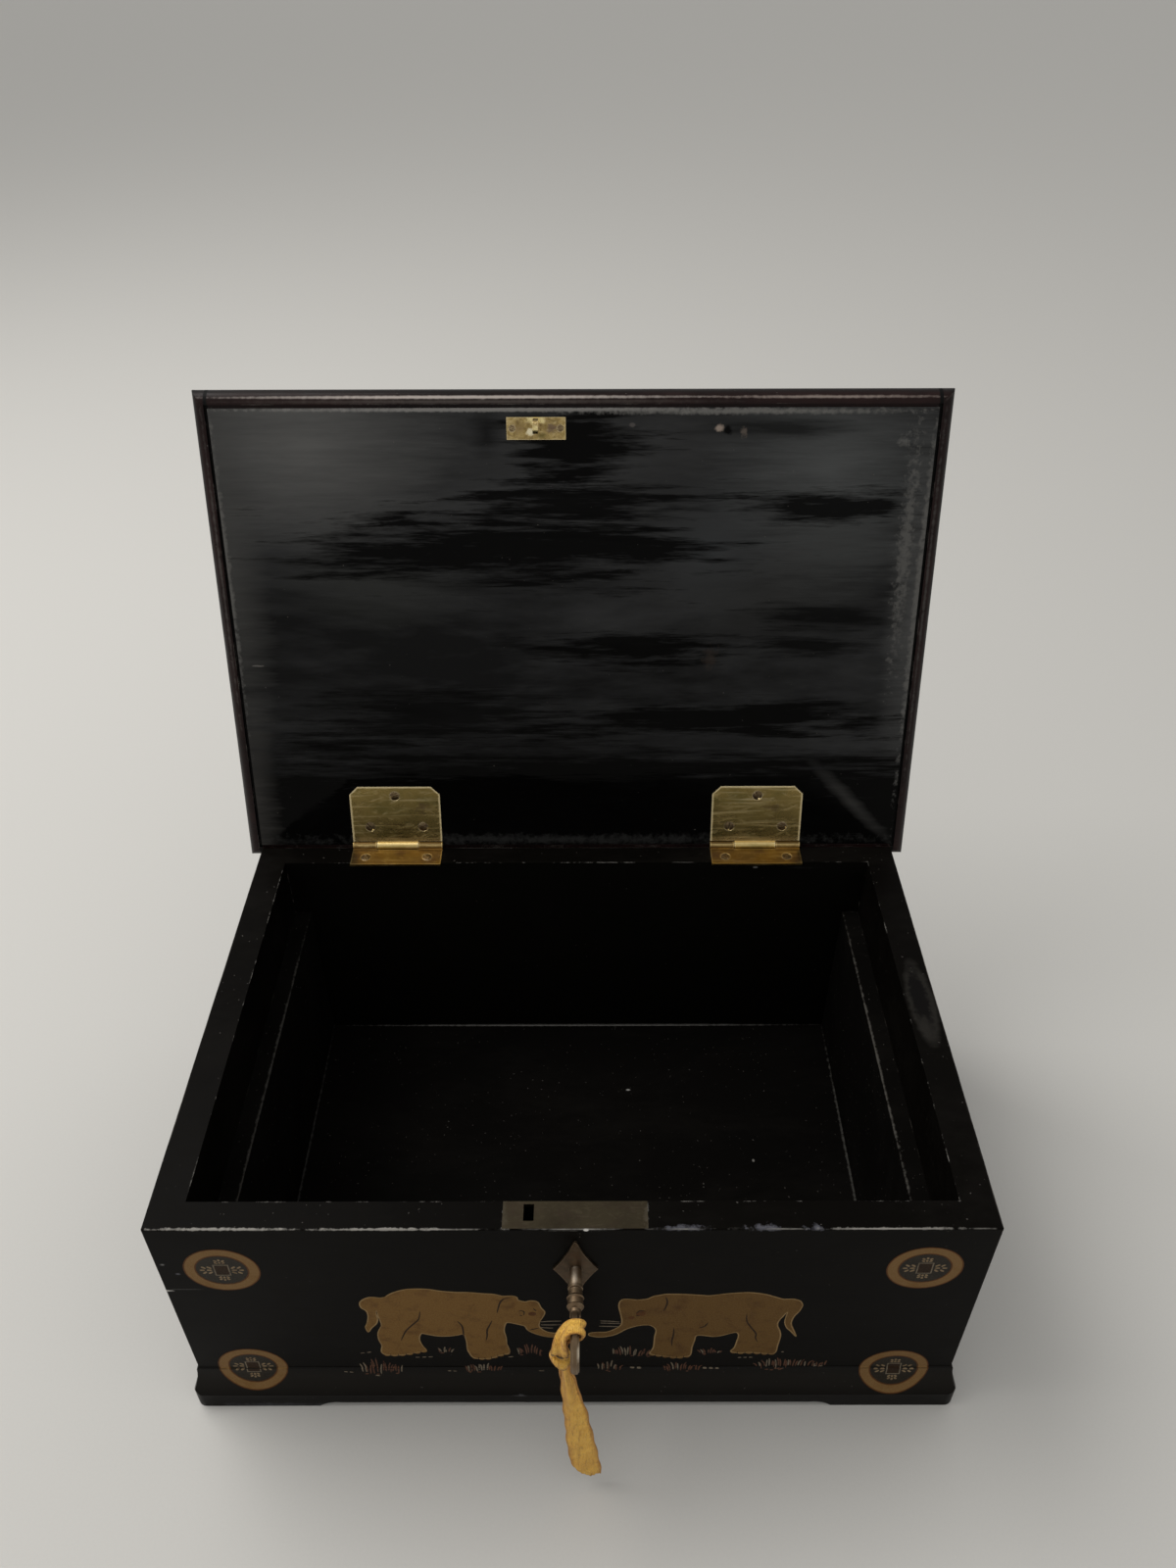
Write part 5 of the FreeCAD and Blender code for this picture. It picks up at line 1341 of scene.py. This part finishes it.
for left, top, right, bottom in TUFTS:
    wide, tall = right - left, top - bottom
    count = int(wide / BLADE_GAP)
    for i in range(count):
        share = (i + 0.5) / count
        x = left + share * wide + draw.uniform(-0.3, 0.3)
        crown = 0.55 + 0.45 * math.sin(math.pi * min(share * 1.25, 1.0))
        height = tall * crown * draw.uniform(0.55, 1.0)
        foot = bottom + tall * draw.uniform(0.10, 0.30)
        lean = draw.uniform(-0.9, 0.9) + (share - 0.5) * 1.8
        blade = [(x, foot), (x + lean * 0.3, foot + height * 0.45), (x + lean, foot + height * 0.8)]
        kind = pale_blades if draw.random() < PALE_SHARE else blades
        kind.append(brush_stroke(finer(blade), 0.62, 0.25))
    for i in range(int(wide / 4)):
        x, z = draw.uniform(left, right - 1.2), bottom + draw.uniform(0.0, 0.14) * tall
        low = [(x, z), (x + draw.uniform(0.8, 1.6), z + 0.15)]
        blades.append(brush_stroke(finer(low), 0.6, 0.5))
dashes = []
for left, z0, right, z1 in DASHES:
    count = max(1, round((right - left) / DASH_STEP))
    for i in range(count):
        ends = [(left + (right - left) * share, z0 + (z1 - z0) * share)
                for share in (i / count, (i + 0.62) / count)]
        dashes.append(brush_stroke(finer(ends), 0.55, 0.5))
painted("grass_tufts", blades, grass_paint)
painted("grass_pale_blades", pale_blades, straw_paint, 0.01)
painted("grass_dashes", dashes, straw_paint, 0.005)
print("blades:", len(blades) + len(pale_blades), "dashes:", len(dashes))

# %% [markdown]
# ### The four coins
#
# Each corner has a round coin with a square hole, a common Chinese pattern. It is a broad gold ring
# edged by thin red-brown lines, a dark field, a square drawn in a thin straw line, and four small
# marks round the square. The marks here are plain leaf sprays, one on each side.

# %% Paint the coins
COINS = {"upper_left": (-126.5, 96.9), "upper_right": (126.7, 97.5),
         "lower_left": (-127.8, 25.2), "lower_right": (126.9, 23.2)}


def oblong(cx, cz, half_x, half_z):
    """A four-sided outline about that middle."""
    return [(cx - half_x, cz - half_z), (cx + half_x, cz - half_z),
            (cx + half_x, cz + half_z), (cx - half_x, cz + half_z)]


def spray(cx, cz, turn_by):
    """Three short strokes that fan out from the square, on the side given by the turn."""
    strokes = []
    c, s = math.cos(turn_by), math.sin(turn_by)
    first, full, fan = (3.6, 4.4, 1.5) if abs(s) > 0.5 else (4.3, 2.8, 1.2)
    for lean, share in ((-fan, 0.8), (0.0, 1.0), (fan, 0.8)):
        reach = full * share
        for near, far in ((first, first + reach * 0.42), (first + reach * 0.6, first + reach)):
            ends = [(lean * 0.7, near), (lean * 1.15, (near + far) / 2), (lean * 1.5, far)]
            turned = [(cx + x * c - z * s, cz + x * s + z * c) for x, z in ends]
            strokes.append(brush_stroke(finer(turned), 0.9, 0.5))
    return strokes


for name, (x, z) in COINS.items():
    painted(f"coin_field_{name}", [circle(x, z, 9.45)], field_paint, -0.01)
    painted(f"coin_ring_{name}", [circle(x, z, r) for r in (13.6, 9.5)], coin_paint)
    rims = [circle(x, z, r) for r in (13.8, 13.3, 9.8, 9.25)]
    painted(f"coin_lines_{name}", rims, rust_paint, 0.02)
    painted(f"coin_hole_{name}", [oblong(x, z, 2.3, 3.0)], line_paint, 0.01)
    square = [oblong(x, z, 2.85, 3.6), oblong(x, z, 2.4, 3.15)]
    painted(f"coin_square_{name}", square, straw_paint, 0.02)
    sprays = [stroke for quarter in range(4) for stroke in spray(x, z, quarter * math.pi / 2)]
    painted(f"coin_marks_{name}", sprays, mark_paint, 0.01)
print("coins painted:", len(COINS))

# %% [markdown]
# ## Floor and light
#
# The floor is a plain pale sheet. The light is a pale world and one large soft lamp from the upper
# left, as from a window, together at the level where a colour renders about as it is written. What
# the camera and the reflections see beyond the floor is the same pale tone.

# %% Floor
bpy.ops.object.select_all(action="DESELECT")
bpy.ops.mesh.primitive_plane_add(size=14.0, location=(0, 2.0, -0.02 * MM))
floor = bpy.context.object
floor.name = "studio_floor"
floor_paper, tree, place, shader = start_material("floor_paper", Roughness=0.85)
fibre = noise(tree, place, 900.0, 3.0)
put(tree, mix_colour(tree, fibre, (0.60, 0.59, 0.565, 1), (0.64, 0.63, 0.60, 1)),
    shader.inputs["Base Color"])
put(tree, rescale(tree, fibre, 0.3, 0.7, 0.8, 0.92), shader.inputs["Roughness"])
finish_with(floor, floor_paper)

# %% World and lamp
world = bpy.data.worlds.new("studio_world")
bpy.context.scene.world = world
world.use_nodes = True
sky = world.node_tree
background = sky.nodes["Background"]
path = sky.nodes.new("ShaderNodeLightPath").outputs
seen = maths(sky, "MAXIMUM", path["Is Camera Ray"], path["Is Glossy Ray"])
LIT, SEEN = (1.0, 0.99, 0.97, 1), (0.86, 0.855, 0.84, 1)
put(sky, mix_colour(sky, seen, LIT, SEEN), background.inputs["Color"])
put(sky, rescale(sky, seen, 0.0, 1.0, 0.55, 0.62), background.inputs["Strength"])

bpy.ops.object.light_add(type="AREA", location=(-0.9, 0.35, 1.5))
lamp = bpy.context.object
lamp.name = "soft_window"
lamp.data.shape = "RECTANGLE"
lamp.data.size, lamp.data.size_y = 1.3, 1.0
lamp.data.energy = 17.0
lamp.data.color = (1.0, 0.985, 0.96)
lamp.rotation_euler = (Vector((0, 0, 0.1)) - lamp.location).to_track_quat("-Z", "Y").to_euler()
print("light:", world.name, "and", lamp.name)

# %% Colour management
bpy.context.scene.view_settings.view_transform = "Standard"
